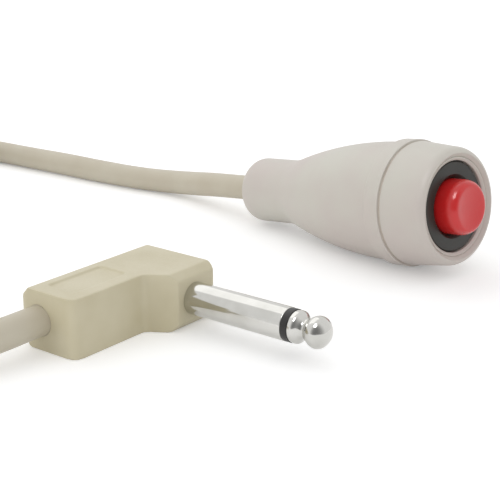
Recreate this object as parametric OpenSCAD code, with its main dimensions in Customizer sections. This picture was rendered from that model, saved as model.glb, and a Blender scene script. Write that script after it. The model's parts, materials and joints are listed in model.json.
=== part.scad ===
// Nurse call button: a bell-shaped handset with one red push button, lying on a table,
// on a round two-core cord that ends in a right-angle 6.35 mm plug.
// Millimetres. The origin is on the table, under the middle of the handset's box.
// +X runs from the cord end to the button, seen from above, and +Z is up.
// A station is a distance along the handset's axis, counted from the cord end.

/* [Cord] */
// Outer diameter of the round cord
cord_d = 6; // [5:0.5:7]
// Diameter of one insulated conductor inside the cord
wire_d = 1.3; // [1:0.1:1.6]
// Distance between the centres of the two conductors where the jacket ends
wire_spread = 1.8; // [1.7:0.1:2.4]

/* [Neck] */
// Diameter of the neck behind its rounded end
neck_d = 15; // [14:0.5:16]
// Length of the rounded end of the neck
neck_round_l = 3.5; // [2.5:0.5:5]
// Length of the neck up to the start of the bell
neck_l = 14.5; // [12:0.5:18]
// How much thinner the neck is where the bell starts, on the radius
neck_taper = 0.05; // [0:0.05:0.5]
// Thickness of the lip round the cord at the end of the neck
exit_lip_t = 1.6; // [1:0.2:2.4]
// Clearance round the cord in that lip, on the radius
exit_clear = 0.15; // [0.05:0.05:0.3]

/* [Bell] */
// Length of the bell from the neck to its mouth
bell_l = 34.7; // [34:0.1:42]
// How far the raised lip at the mouth stands out of the bell
lip_rise = 0.7; // [0.4:0.05:0.9]
// Width of the raised lip
lip_w = 3.6; // [2:0.2:5]
// Thickness of the housing's wall
shell_wall = 2; // [1.6:0.1:2.2]

/* [Front cap] */
// Length of the cap that shows, from the seam to the rim
cap_l = 10.8; // [9:0.2:14]
// How much smaller the cap is than the lip at the seam, on the radius
seam_step = 0.35; // [0:0.05:0.5]
// How much the cap narrows from the seam to its rounded front edge, on the radius
cap_taper = 0.8; // [0.4:0.1:1.2]
// Length of the rounded front edge
rim_round_l = 2; // [1.6:0.2:3.6]
// Width of the rounded front edge
rim_round_w = 1.3; // [1:0.1:2.6]
// Width of the flat rim
rim_w = 0.35; // [0.25:0.05:1.2]
// Depth of the bevel inside the rim
rim_bevel = 1; // [0.4:0.2:1.4]
// Width of that bevel
rim_bevel_w = 1.2; // [0.4:0.05:1.4]
// Thickness of the web that carries the switch
web_t = 2.2; // [1.6:0.2:3]
// Length of the spigot inside the housing's mouth
spigot_l = 5.5; // [4:0.5:8]
// Thickness of the spigot's wall
spigot_wall = 1.3; // [1:0.1:1.5]
// Clearance round the spigot, on the radius
spigot_clear = 0.1; // [0.05:0.05:0.2]
// Thickness of the seal in the seam
seal_t = 0.5; // [0.3:0.1:0.8]
// How far the seal lies below the outside of the lip
seal_sink = 0.5; // [0.2:0.1:0.8]

/* [Switch] */
// How far the black flange stands out of the barrel
flange_rim = 2.5; // [2:0.1:3]
// Thickness of the flange
flange_t = 1.6; // [1:0.2:2.4]
// How far the flange's face lies below the rim
flange_sink = 1; // [0.4:0.2:1.6]
// Clearance round the flange, on the radius
flange_clear = 0.15; // [0.1:0.05:0.3]
// Thickness of the gasket under the flange
gasket_t = 0.6; // [0.4:0.1:1]
// Wall of the threaded barrel round the button
barrel_wall = 1.07; // [0.9:0.01:1.6]
// Clearance round the barrel in the cap, the washer and the nut, on the radius
barrel_clear = 0.1; // [0.05:0.05:0.2]
// Least wall of the nut, at the middle of its flats
nut_wall = 1.5; // [1.2:0.1:1.6]
// Thickness of the nut
nut_t = 2.6; // [2:0.2:3.4]
// Thickness of the lock washer
washer_t = 0.5; // [0.3:0.1:0.8]
// Depth of the bore for the button, below the flange's face
button_bore_l = 9; // [8:0.5:11]
// Thickness of the wall that guides the stem
guide_t = 3; // [2:0.5:4]
// Thickness of the plate that carries the contacts
base_t = 2; // [1.6:0.2:3]
// Thickness of the barrel's wall round the contacts
chamber_wall = 1; // [0.8:0.1:1.2]

/* [Button] */
// Diameter of the red button
button_d = 11.7; // [11.2:0.1:11.8]
// How far the button stands out of the flange
button_proud = 4.2; // [3.4:0.2:5]
// Travel of the button when it is pressed
travel = 2; // [1.2:0.2:2.2]
// Running clearance round the button, on the radius
button_clear = 0.08; // [0.05:0.01:0.1]
// Thickness of the button's side wall
button_wall = 1; // [0.8:0.1:1.1]
// Thickness of the button's face
face_t = 1.5; // [1.4:0.1:2]
// Radius of the button's front edge
button_round = 1.2; // [0.8:0.1:1.4]
// Depth of the shallow dish in the button's face
dish_depth = 0.4; // [0.2:0.1:0.5]
// Diameter of the stem
stem_d = 4; // [3.6:0.1:4.2]
// Running clearance round the stem, on the radius
stem_clear = 0.06; // [0.04:0.01:0.1]
// Wall of the boss that holds the stem in the button
boss_wall = 0.8; // [0.6:0.1:0.9]
// Wire diameter of the return spring
spring_wire = 0.6; // [0.5:0.05:0.7]
// Number of turns of the return spring
spring_turns = 6; // [4:1:8]

/* [Contacts] */
// Thickness of the moving contact bridge
bridge_t = 0.5; // [0.4:0.1:0.8]
// Thickness of a terminal strip
terminal_t = 0.6; // [0.5:0.1:0.8]
// Width of a terminal strip
terminal_w = 2.4; // [2:0.2:2.8]
// Length of the solder lug behind the switch
lug_l = 6; // [5:0.5:7]
// Diameter of a contact rivet
rivet_d = 1.6; // [1.2:0.1:1.8]
// Height of a contact rivet
rivet_h = 0.5; // [0.3:0.1:0.7]
// Thickness of the stem's retaining clip
clip_t = 0.6; // [0.4:0.1:0.8]

/* [Cord anchorage] */
// Wall of the soft grommet in the neck
grommet_wall = 1.7; // [1.3:0.1:1.8]
// Thickness of the washer that the ferrule pulls against
anchor_washer_t = 0.8; // [0.6:0.1:1.2]
// Wall of the crimped ferrule
ferrule_wall = 1.1; // [0.8:0.1:1.3]
// Length of the crimped ferrule
ferrule_l = 6; // [4:0.5:7]
// Length of cord jacket that stands out of the ferrule
jacket_stub = 2.5; // [1.5:0.5:3.5]

/* [Plug] */
// Diameter of the plug's pin
pin_d = 6.35; // [6:0.05:6.7]
// Length of the metal sleeve in front of the plug's body
sleeve_l = 22.2; // [20:0.2:26]
// Width of the black insulating ring
ring_w = 1.4; // [1:0.1:2]
// Length of the tip in front of that ring
tip_l = 7.4; // [6.8:0.2:8.4]
// Diameter of the rod that leads to the tip
rod_d = 2.5; // [2:0.1:2.6]
// Depth of the plug's body, along the pin
plug_depth = 14; // [13.5:0.5:15.5]
// Length of the plug's body, along the cord
plug_l = 32; // [31:0.5:36]
// Thickness of the plug's body
plug_t = 11.5; // [11:0.5:13]
// How far the head stands out in front of the body
head_reach = 5.5; // [4.5:0.5:7]
// Height of the head where the pin leaves it
head_h = 10.4; // [9.8:0.2:11]
// Bevel along the back edges of the plug
plug_bevel = 2.4; // [1.6:0.2:2.6]
// Bevel round the head, at the pin
head_bevel = 1.4; // [1:0.1:1.5]
// Length of the bare label recess
label_l = 13.6; // [11:0.2:14]
// Width of the bare label recess
label_w = 6.8; // [6:0.2:7.4]
// Depth of the bare label recess
label_depth = 0.4; // [0.2:0.1:0.5]

/* [Coil] */
// Radius of the coil at its outermost turn, to the middle of the cord
coil_r = 44; // [43.5:0.5:45]
// Clearance between neighbouring turns
turn_gap = 0.6; // [0.5:0.05:0.7]
// Clearance between the two layers
layer_gap = 0.5; // [0.45:0.05:0.6]
// Whole turns in the coil, besides the part turn between its two ends
coil_turns = 7; // [7:1:7]
// Thickness of the two ties
tie_t = 0.8; // [0.6:0.1:1]
// Width of the two ties
tie_w = 5; // [4:0.5:8]

/* [Hidden] */
$fn = 96;

// Small values that more than one piece shares
// Overrun of a cut past the face that it opens
over = 1;
// Gap between pieces that are pressed or moulded together
seat = 0.03;
// Gap at the end of a travel
stop_gap = 0.1;
// Points in a quarter of a turned round
round_steps = 8;

// Handset stations
mouth_s = neck_l + bell_l;
lip_s = mouth_s - lip_w;
seam_s = mouth_s + seal_t;
front_s = mouth_s + cap_l;
face_s = front_s - flange_sink;
flange_back_s = face_s - flange_t;
web_front_s = flange_back_s - gasket_t;
web_back_s = web_front_s - web_t;
washer_back_s = web_back_s - washer_t;
nut_back_s = washer_back_s - nut_t;
guide_front_s = face_s - button_bore_l;
guide_back_s = guide_front_s - guide_t;
clip_front_s = guide_back_s - stop_gap;
clip_back_s = clip_front_s - clip_t;
bridge_front_s = clip_back_s - bridge_t - stop_gap;
bridge_back_s = bridge_front_s - bridge_t;
contact_gap = travel + stop_gap / 2;
terminal_front_s = bridge_back_s - 2 * rivet_h - contact_gap;
base_front_s = terminal_front_s - terminal_t;
base_back_s = base_front_s - base_t;
stem_back_s = base_front_s + travel + stop_gap;
lug_back_s = base_back_s - lug_l;
button_top_s = face_s + button_proud;
button_under_s = button_top_s - face_t;
skirt_s = guide_front_s + travel + stop_gap;

// Diameters of the handset, from the button outwards to the lip
barrel_d = button_d + 2 * (button_clear + barrel_wall);
nut_flats = barrel_d + 2 * nut_wall;
flange_d = barrel_d + 2 * flange_rim;
rim_hole_d = flange_d + 2 * (flange_clear + rim_bevel_w);
rim_d = rim_hole_d + 2 * rim_w;
cap_front_d = rim_d + 2 * rim_round_w;
cap_d = cap_front_d + 2 * cap_taper;
lip_d = cap_d + 2 * seam_step;
bell_d = lip_d - 2 * lip_rise;
waist_d = neck_d - 2 * neck_taper;

// Radii of the handset
cord_r = cord_d / 2;
exit_r = cord_r + exit_clear;
grommet_r = cord_r + grommet_wall;
pocket_r = grommet_r + 2 * seat;
anchor_s = neck_l + seat;
anchor_r = pocket_r + shell_wall / 4;
mouth_r = lip_d / 2 - shell_wall;
spigot_r = mouth_r - spigot_clear;
spigot_hole_r = spigot_r - spigot_wall;
recess_r = flange_d / 2 + flange_clear;
barrel_r = barrel_d / 2;
barrel_hole_r = barrel_r + barrel_clear;
chamber_r = barrel_r - chamber_wall;
base_r = chamber_r - seat;
button_r = button_d / 2;
button_bore_r = button_r + button_clear;
button_hole_r = button_r - button_wall;
stem_r = stem_d / 2;
stem_neck_r = stem_r * 0.72;
boss_r = stem_r + seat + boss_wall;
spring_r = (boss_r + button_hole_r) / 2;
rivet_y = stem_r + seat + rivet_d * 0.7;
terminal_y = chamber_r - terminal_t - 4 * stop_gap;

// The bell swells from the waist to the lip in a parabola, and the lip stands out of it
function bell_r(share) = waist_d / 2 + (bell_d - waist_d) / 2 * (1 - pow(1 - share, 2));
bell_steps = 18;
bell_curve_l = lip_s - lip_rise - neck_l;
bell_curve = [for (i = [0:bell_steps]) let (share = i / bell_steps)
    [bell_r(share), neck_l + bell_curve_l * share]];
lip_outline = [[lip_d / 2 - lip_rise / 4, lip_s], [lip_d / 2, lip_s + lip_rise],
    [lip_d / 2, mouth_s - lip_rise / 4], [lip_d / 2 - lip_rise / 4, mouth_s]];

// How the handset lies: on the swelling of the bell, below its centre of mass
table_share = 0.638;
rest_tilt = atan((bell_d - waist_d) * (1 - table_share) / bell_curve_l);
rest_z = max([for (p = concat(bell_curve, lip_outline))
    p[0] * cos(rest_tilt) - p[1] * sin(rest_tilt)]);
axis = [cos(rest_tilt), 0, sin(rest_tilt)];
end_share = 0.16;
rear_x = -(exit_r + (neck_d / 2 - exit_r) * end_share) * sin(rest_tilt);
front_x = button_top_s * cos(rest_tilt) + (button_r - button_round) * sin(rest_tilt);
shift_x = -(rear_x + front_x) / 2;
exit_point = [shift_x, 0, rest_z];

// The plug lies flat on the table. Its own frame has +X along the pin and +Y towards its head,
// and starts at the back corner of the head
plug_place = [-9.5, -55, 0];
plug_turn = 8;
plug_z = plug_t / 2;
pin_y = -head_h * 0.56;
shoulder_x = plug_depth + head_reach;
root_r = pin_d * 0.44;
sleeve_flange_t = pin_d * 0.2;
sleeve_flange_r = pin_d * 0.6;
sleeve_hole_r = pin_d * 0.3;
lug_t = pin_d * 0.08;
rear_washer_t = pin_d * 0.18;
cord_in_x = plug_depth * 0.36;
plug_cord_l = plug_l * 0.34;
plug_cord_point = plug_place + [cord_in_x * cos(plug_turn) + plug_l * sin(plug_turn),
    cord_in_x * sin(plug_turn) - plug_l * cos(plug_turn), plug_z];
plug_cord_dir = [sin(plug_turn), -cos(plug_turn), 0];

// The coil: its middle, the angles at which the cord joins and leaves it, and its layers
coil_place = [-153, -66.5];
coil_in_angle = 101;
coil_out_angle = 270;
turn_pitch = cord_d + turn_gap;
coil_sweep = 360 * coil_turns + coil_out_angle - coil_in_angle;
layer_z = [tie_t + stop_gap + cord_r, tie_t + stop_gap + cord_r + cord_d + layer_gap];
rings_a_turn = 24;
coil_sides = 6;
tube_sides = 12;
wire_sides = 8;

// The cord's routes over the table. Each starts and ends with a straight stretch square to the
// piece that it meets, which is worked out below
lead_route = [[-49.5, 0.3, 5.2], [-55.5, 0.6, 4.2], [-61.5, 0, 3.5], [-67.5, -1.4, 3.1],
    [-73.5, -3.2, 3], [-85.5, -6, 3], [-98.5, -8.2, 3], [-109.5, -10.4, 3],
    [-120.5, -12.6, 3], [-132, -15.4, 3.1], [-143, -18.6, 3.5]];
tail_route = [[-139, -110.6, 10.3], [-131, -110.9, 9.2], [-120, -111.3, 7], [-108, -111.8, 5],
    [-96, -112.3, 3.7], [-84, -112.9, 3.1], [-72, -113.6, 3], [-58, -115, 3], [-44, -116.8, 3],
    [-30, -118.3, 3], [-17, -118, 3], [-7.5, -114, 3.3], [-1.5, -107, 4.1]];

function unit(v) = v / norm(v);

// Middle line of the coil: inwards on the table, up a layer in the half turn in which it
// reverses, and outwards on top
function coil_radius(a) = coil_r - turn_pitch * min(a, coil_sweep - a) / 360;
function coil_height(a) = let (climb = (a - coil_sweep / 2 + 90) / 180,
        share = max(0, min(1, climb)))
    layer_z[0] + (layer_z[1] - layer_z[0]) * (1 - cos(180 * share)) / 2;
function coil_at(a) = let (b = coil_in_angle + a, r = coil_radius(a))
    [coil_place[0] + r * cos(b), coil_place[1] + r * sin(b), coil_height(a)];
function coil_heading(b) = [-sin(b), cos(b), 0];

coil_steps = round(coil_sweep / 360 * rings_a_turn);
coil_turn_points = [for (i = [0:coil_steps]) coil_at(coil_sweep * i / coil_steps)];
coil_start = coil_turn_points[0] - cord_d * coil_heading(coil_in_angle);
coil_end = coil_turn_points[coil_steps] + cord_d * coil_heading(coil_out_angle);
coil_points = concat([coil_start], coil_turn_points, [coil_end]);
lead_points = concat([exit_point, exit_point - cord_d * axis, exit_point - 2 * cord_d * axis],
    lead_route, [coil_start - cord_d * coil_heading(coil_in_angle), coil_start]);
tail_points = concat([coil_end, coil_end + cord_r * coil_heading(coil_out_angle)], tail_route,
    [plug_cord_point + 1.5 * cord_d * plug_cord_dir,
    plug_cord_point + cord_d * plug_cord_dir / 2, plug_cord_point]);

// Length of a line of points, and the least distance between turns of the coil
function sum(v, i = 0) = i == len(v) ? 0 : v[i] + sum(v, i + 1);
function route_length(p) = sum([for (i = [1:len(p) - 1]) norm(p[i] - p[i - 1])]);
function least_gap(p, d, apart) = min([for (i = [0:len(p) - 1 - apart])
    min([for (j = [i + apart:len(p) - 1]) norm(p[i] - p[j])])]) - d;
echo(str("cord length mm ", route_length(lead_points) + route_length(coil_points)
    + route_length(tail_points)));
echo(str("coil least gap mm ", least_gap(coil_points, cord_d, rings_a_turn / 2)));

// Rings of points round a line, and the closed tube that they make
function along(p, i) = unit(p[min(i + 1, len(p) - 1)] - p[max(i - 1, 0)]);
function ring(p, i, d, sides, up) = let (t = along(p, i), s = unit(cross(up, t)),
        u = cross(t, s))
    [for (k = [0:sides - 1]) p[i] + d / 2 * (cos(90 + 360 * k / sides) * s
        + sin(90 + 360 * k / sides) * u)];
module tube(p, d, sides, up = [0, 0, 1]) {
    n = len(p);
    polyhedron(
        points = [for (i = [0:n - 1]) each ring(p, i, d, sides, up)],
        faces = concat(
            [for (i = [0:n - 2]) for (k = [0:sides - 1]) let (m = (k + 1) % sides)
                each [[i * sides + k, (i + 1) * sides + k, i * sides + m],
                    [i * sides + m, (i + 1) * sides + k, (i + 1) * sides + m]]],
            [for (k = [1:sides - 2]) [0, k, k + 1]],
            [for (k = [1:sides - 2]) [(n - 1) * sides, (n - 1) * sides + k + 1,
                (n - 1) * sides + k]]));
}

// Turned and drilled shapes about the handset's axis
module on_axis() {
    translate(exit_point) rotate([0, 90 - rest_tilt, 0]) children();
}
module disc(r, from, to) {
    translate([0, 0, from]) cylinder(r = r, h = to - from);
}
module washer(r, hole_r, from, to) {
    difference() {
        disc(r, from, to);
        disc(hole_r, from - over, to + over);
    }
}
// Outline of the housing's end, from the exit hole round to the neck
neck_end = [for (i = [0:round_steps]) let (a = 90 * i / round_steps)
    [exit_r + (neck_d / 2 - exit_r) * sin(a), neck_round_l * (1 - cos(a))]];

// The hollow: the exit hole, the pocket of the grommet, and the inside of the bell
bell_hollow = [for (i = [2:2:bell_steps - 2]) let (share = i / bell_steps)
    [min(bell_r(share) - shell_wall, mouth_r),
        neck_l + anchor_washer_t + (lip_s - spigot_l - neck_l) * share]];
module bell_housing() {
    color("#C9C5BF") on_axis() rotate_extrude()
        polygon(concat([[exit_r, exit_lip_t]], neck_end, bell_curve, lip_outline,
            [[mouth_r, mouth_s], [mouth_r, mouth_s - spigot_l - 2 * over]],
            [for (i = [len(bell_hollow) - 1:-1:0]) bell_hollow[i]],
            [[anchor_r + seat, neck_l + anchor_washer_t], [anchor_r + seat, neck_l],
            [pocket_r, neck_l], [pocket_r, exit_lip_t]]));
}

// Front cap: a spigot, a web that carries the switch, and a rounded rim round a recess
rim_steps = 6;
rim_round = [for (i = [0:rim_steps]) let (a = 90 * i / rim_steps)
    [rim_d / 2 + (cap_front_d - rim_d) / 2 * cos(a), front_s - rim_round_l * (1 - sin(a))]];
module front_cap() {
    color("#C9C5BF") on_axis() rotate_extrude()
        polygon(concat([[spigot_hole_r, mouth_s - spigot_l], [spigot_r, mouth_s - spigot_l],
            [spigot_r, seam_s], [cap_d / 2 - seal_sink / 4, seam_s],
            [cap_d / 2, seam_s + seal_sink / 4]], rim_round,
            [[rim_hole_d / 2, front_s], [recess_r, front_s - rim_bevel],
            [recess_r, web_front_s], [barrel_hole_r, web_front_s],
            [barrel_hole_r, web_back_s], [spigot_hole_r, web_back_s]]));
}
module cap_seal() {
    color("#4A4744") on_axis() washer(lip_d / 2 - seal_sink, spigot_r + seat, mouth_s, seam_s);
}

// Switch: a flanged barrel, clamped to the cap's web by its nut
module switch_bushing() {
    edge = flange_t / 4;
    color("#2F2E2C") on_axis() difference() {
        union() {
            disc(flange_d / 2, flange_back_s, face_s - edge);
            translate([0, 0, face_s - edge])
                cylinder(r1 = flange_d / 2, r2 = flange_d / 2 - edge, h = edge);
            disc(barrel_r, base_back_s, flange_back_s);
        }
        disc(button_bore_r, guide_front_s, face_s + over);
        disc(stem_r + stem_clear, guide_back_s - over, guide_front_s + over);
        disc(chamber_r, base_back_s - over, guide_back_s);
    }
}
module flange_gasket() {
    color("#1E1D1C") on_axis()
        washer(flange_d / 2 - flange_clear, barrel_hole_r, web_front_s, flange_back_s);
}
module lock_washer() {
    color("#A9A9A6") on_axis()
        washer(nut_flats / 2, barrel_hole_r, washer_back_s, web_back_s);
}
module barrel_nut() {
    color("#A9A9A6") on_axis() difference() {
        translate([0, 0, nut_back_s])
            cylinder(d = nut_flats / cos(30), h = nut_t, $fn = 6);
        disc(barrel_hole_r, nut_back_s - over, washer_back_s + over);
    }
}

// Button: a hollow red cap with a boss inside, pressed onto its stem
button_edge = [for (i = [0:round_steps]) let (a = 90 * i / round_steps)
    [button_r - button_round * (1 - cos(a)), button_top_s - button_round * (1 - sin(a))]];
dish_r = button_r - 1.2 * button_round;
socket_s = button_under_s - over / 2;
boss_s = (guide_front_s + button_under_s) / 2;
module button() {
    color("#B3201F") on_axis() rotate_extrude()
        polygon(concat([[button_hole_r, skirt_s], [button_r, skirt_s]], button_edge,
            [[dish_r, button_top_s], [dish_r / 2, button_top_s - dish_depth * 3 / 4],
            [0, button_top_s - dish_depth], [0, socket_s], [stem_r + seat, socket_s],
            [stem_r + seat, boss_s], [boss_r, boss_s], [boss_r, button_under_s],
            [button_hole_r, button_under_s]]));
}
module button_stem() {
    color("#D9D5C8") on_axis() {
        disc(stem_r, clip_front_s, socket_s - seat);
        disc(stem_neck_r, clip_back_s, clip_front_s);
        disc(stem_r, bridge_front_s, clip_back_s);
        disc(stem_neck_r, bridge_back_s, bridge_front_s);
        disc(stem_r * 0.9, stem_back_s, bridge_back_s);
    }
}
module stem_clip() {
    color("#A9A9A6") on_axis()
        washer(stem_r * 1.6, stem_neck_r + seat, clip_back_s, clip_front_s);
}
bridge_r = rivet_y + rivet_d * 0.6;
module contact_bridge() {
    color("#B08D3C") on_axis() washer(bridge_r, stem_neck_r + seat, bridge_back_s, bridge_front_s);
}
module rivet_pair(from) {
    for (side = [-1, 1]) translate([0, side * rivet_y, from])
        cylinder(d = rivet_d, h = rivet_h, $fn = 32);
}
module bridge_rivets() {
    color("#D6D6D2") on_axis() rivet_pair(bridge_back_s - rivet_h);
}
module terminal_rivets() {
    color("#D6D6D2") on_axis() rivet_pair(terminal_front_s);
}
spring_steps = 12;
module return_spring() {
    low = guide_front_s + spring_wire / 2 + seat;
    high = button_under_s - spring_wire / 2 - seat;
    count = spring_turns * spring_steps;
    color("#B9B9B6") on_axis()
        tube([for (i = [0:count]) [spring_r * cos(360 * i / spring_steps),
            spring_r * sin(360 * i / spring_steps), low + (high - low) * i / count]],
            spring_wire, coil_sides);
}

// Contact plate and the two terminals, which pass through it
module terminal_slot(side, clear) {
    translate([-terminal_w / 2 - clear, side * terminal_y - terminal_t / 2 - clear,
        base_back_s - over])
        cube([terminal_w + 2 * clear, terminal_t + 2 * clear, base_t + 2 * over]);
}
module switch_base() {
    color("#5B3A26") on_axis() difference() {
        disc(base_r, base_back_s, base_front_s);
        for (side = [-1, 1]) terminal_slot(side, seat);
    }
}
module terminal(side) {
    inner = rivet_y - rivet_d / 2;
    outer = terminal_y + terminal_t / 2;
    color("#B08D3C") on_axis() union() {
        translate([-terminal_w / 2, side > 0 ? inner : -outer, base_front_s])
            cube([terminal_w, outer - inner, terminal_t]);
        translate([-terminal_w / 2, side * terminal_y - terminal_t / 2, lug_back_s])
            cube([terminal_w, terminal_t, terminal_front_s - lug_back_s]);
    }
}
module terminal_left() { terminal(1); }
module terminal_right() { terminal(-1); }

// Cord anchorage in the neck, and the conductors up to the solder lugs
module cord_grommet() {
    color("#8F8B82") on_axis() washer(grommet_r, cord_r + seat, exit_lip_t + seat, neck_l);
}
module anchor_washer() {
    color("#A9A9A6") on_axis()
        washer(anchor_r, cord_r + seat, anchor_s, neck_l + anchor_washer_t);
}
ferrule_s = neck_l + anchor_washer_t + seat;
jacket_s = ferrule_s + ferrule_l + jacket_stub;
module cord_ferrule() {
    color("#B08D3C") on_axis()
        washer(cord_r + ferrule_wall, cord_r + seat, ferrule_s, ferrule_s + ferrule_l);
}
module jacket_end() {
    color("#BBB5A6") on_axis() disc(cord_r, 0, jacket_s);
}
solder_l = lug_l / 4;
wire_end_s = lug_back_s + lug_l / 6;
wire_y = terminal_y - terminal_t / 2 - wire_d / 2 - seat;
module conductor(side) {
    on_axis() tube([[0, side * wire_spread / 2, jacket_s + seat],
        [0, side * wire_spread / 2, jacket_s + wire_d],
        [0, side * wire_y, wire_end_s - 2 * wire_d], [0, side * wire_y, wire_end_s]],
        wire_d, wire_sides, [1, 0, 0]);
}
module conductor_live() { color("#9A3B2E") conductor(1); }
module conductor_return() { color("#3A5E8C") conductor(-1); }
module switch_solder() {
    color("#BFC1C2") on_axis() for (side = [-1, 1])
        translate([0, side * wire_y, wire_end_s + seat])
            cylinder(d = wire_d, h = solder_l, $fn = 24);
}
sleeve_wall = wire_d / 6;
lug_sleeve_r = norm([terminal_w / 2, terminal_t / 2 + wire_d / 2]) + stop_gap;
module lug_sleeves() {
    color("#2A2A2A") on_axis() for (side = [-1, 1])
        translate([0, side * (terminal_y - wire_d / 2), 0])
            washer(lug_sleeve_r + sleeve_wall, lug_sleeve_r, lug_back_s - wire_d,
                base_back_s - stop_gap);
}

// The free cord: a lead over the table, the coil with its two ties, and the tail to the plug
module cord_lead() { color("#BBB5A6") tube(lead_points, cord_d, tube_sides); }
module cord_coil() { color("#BBB5A6") tube(coil_points, cord_d, coil_sides); }
module cord_tail() { color("#BBB5A6") tube(tail_points, cord_d, tube_sides); }
tie_angles = [10, 190];
tie_clear = 0.6;
function turn_radii(b) = let (first = (b - coil_in_angle + 360) % 360)
    [for (a = [first:360:coil_sweep]) coil_radius(a)];
module coil_ties() {
    top = layer_z[1] + cord_r + stop_gap;
    color("#3B3B3A") for (angle = tie_angles) {
        inner = min(turn_radii(angle)) - cord_r - tie_clear;
        outer = max(turn_radii(angle)) + cord_r + stop_gap;
        translate([coil_place[0], coil_place[1], 0]) rotate([0, 0, angle]) difference() {
            translate([inner - tie_t, -tie_w / 2, 0])
                cube([outer - inner + 2 * tie_t, tie_w, top + tie_t]);
            translate([inner, -tie_w / 2 - over, tie_t])
                cube([outer - inner, tie_w + 2 * over, top - tie_t]);
        }
    }
}

// Plug: a soft body moulded over a hard core that holds the metal parts
module in_plug() {
    translate(plug_place) rotate([0, 0, plug_turn]) children();
}
// A turned shape about the pin's axis, drawn from the body outwards
module on_pin() {
    translate([0, pin_y, plug_z]) rotate([0, 90, 0]) children();
}
corner_r = plug_depth / 7;
module plug_side() {
    neck_y = -head_h - head_reach * 0.65;
    polygon(concat(
        [for (i = [0:round_steps]) let (a = 90 + 90 * i / round_steps)
            [corner_r + corner_r * cos(a), -corner_r + corner_r * sin(a)]],
        [for (i = [0:round_steps]) let (a = 180 + 90 * i / round_steps)
            [corner_r + corner_r * cos(a), corner_r - plug_l + corner_r * sin(a)]],
        [for (i = [0:round_steps]) let (a = 270 + 90 * i / round_steps)
            [plug_depth - corner_r + corner_r * cos(a),
                corner_r - plug_l + corner_r * sin(a)]],
        [[plug_depth, neck_y - corner_r / 2], [plug_depth + corner_r / 4, neck_y],
        [shoulder_x, -head_h], [shoulder_x, 0]]));
}
// The plug's section across its thickness: large bevels at the back, small ones in front
module plug_section() {
    polygon([[0, plug_bevel], [plug_bevel, 0], [shoulder_x - head_bevel, 0],
        [shoulder_x, head_bevel], [shoulder_x, plug_t - head_bevel],
        [shoulder_x - head_bevel, plug_t], [plug_bevel, plug_t], [0, plug_t - plug_bevel]]);
}
core_wall = plug_t / 16;
core_t = 2 * (sleeve_flange_r + seat + core_wall);
core_x = plug_bevel;
core_back_x = plug_depth - 2 * core_wall;
core_front_x = shoulder_x - head_bevel - 3 * core_wall;
core_y = -plug_l + plug_cord_l;
core_head_y = pin_y + core_t / 2;
sleeve_flange_x = core_back_x - core_wall - sleeve_flange_t - seat;
sleeve_lug_x = sleeve_flange_x - lug_t;
sleeve_back_x = sleeve_lug_x - 2 * lug_t;
module plug_core_block(clear) {
    for (box = [[core_y, core_back_x], [pin_y - core_t / 2, core_front_x]])
        translate([core_x - clear, box[0] - clear, plug_z - core_t / 2 - clear])
            cube([box[1] - core_x + 2 * clear, core_head_y - box[0] + 2 * clear,
                core_t + 2 * clear]);
}
module plug_body() {
    color("#CFC6A8") in_plug() difference() {
        intersection() {
            linear_extrude(plug_t) plug_side();
            rotate([90, 0, 0]) translate([0, 0, -over]) linear_extrude(plug_l + 2 * over)
                plug_section();
        }
        plug_core_block(seat);
        on_pin() disc(root_r + seat, core_front_x - over, shoulder_x + over);
        translate([cord_in_x, -plug_l - over, plug_z]) rotate([-90, 0, 0])
            cylinder(r = cord_r + seat, h = plug_cord_l + 2 * over);
        translate([plug_depth / 2 - label_w / 2 + plug_bevel / 4,
            -plug_l + corner_r + plug_bevel / 2, plug_t - label_depth])
            cube([label_w, label_l, label_depth + over]);
    }
}
module plug_core() {
    color("#E4E0D2") in_plug() difference() {
        plug_core_block(0);
        on_pin() disc(root_r + seat, sleeve_back_x, core_front_x + over);
        on_pin() disc(sleeve_flange_r + seat, core_x + core_wall, sleeve_flange_x + seat
            + sleeve_flange_t);
        translate([core_x + core_wall, core_y - over, plug_z - core_t / 2 + core_wall])
            cube([core_back_x - core_x - 2 * core_wall, pin_y - core_y + over,
                core_t - 2 * core_wall]);
    }
}
module plug_sleeve() {
    color("#C9CACB") in_plug() on_pin() difference() {
        union() {
            disc(root_r, sleeve_back_x, shoulder_x + lug_t);
            disc(pin_d / 2, shoulder_x, shoulder_x + sleeve_l);
            disc(sleeve_flange_r, sleeve_flange_x, sleeve_flange_x + sleeve_flange_t);
        }
        disc(sleeve_hole_r, sleeve_back_x - over, shoulder_x + sleeve_l + over);
    }
}
ring_x = shoulder_x + sleeve_l;
module plug_insulator() {
    color("#1F1E1D") in_plug() on_pin() difference() {
        union() {
            disc(pin_d / 2, ring_x, ring_x + ring_w);
            disc(sleeve_hole_r - seat, sleeve_back_x, ring_x);
        }
        disc(rod_d / 2 + seat, sleeve_back_x - over, ring_x + ring_w + over);
    }
}
// The tip's outline, in shares of its length and of the pin's radius
tip_shares = [[0, 0.94], [0.1, 0.97], [0.17, 0.93], [0.3, 0.64], [0.38, 0.62], [0.5, 0.82],
    [0.6, 0.92], [0.7, 0.94], [0.8, 0.86], [0.9, 0.64], [0.97, 0.36], [1, 0]];
lug_x = sleeve_back_x - rear_washer_t - lug_t;
module plug_tip() {
    tip_x = ring_x + ring_w;
    color("#C9CACB") in_plug() on_pin() union() {
        rotate_extrude() polygon(concat([[0, tip_x]],
            [for (p = tip_shares) [p[1] * pin_d / 2, tip_x + p[0] * tip_l]]));
        disc(rod_d / 2, lug_x - lug_t, tip_x + tip_l / 10);
    }
}
module plug_rear_washer() {
    color("#3A3A38") in_plug() on_pin()
        washer(root_r, rod_d / 2 + seat, sleeve_back_x - rear_washer_t, sleeve_back_x);
}
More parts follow.
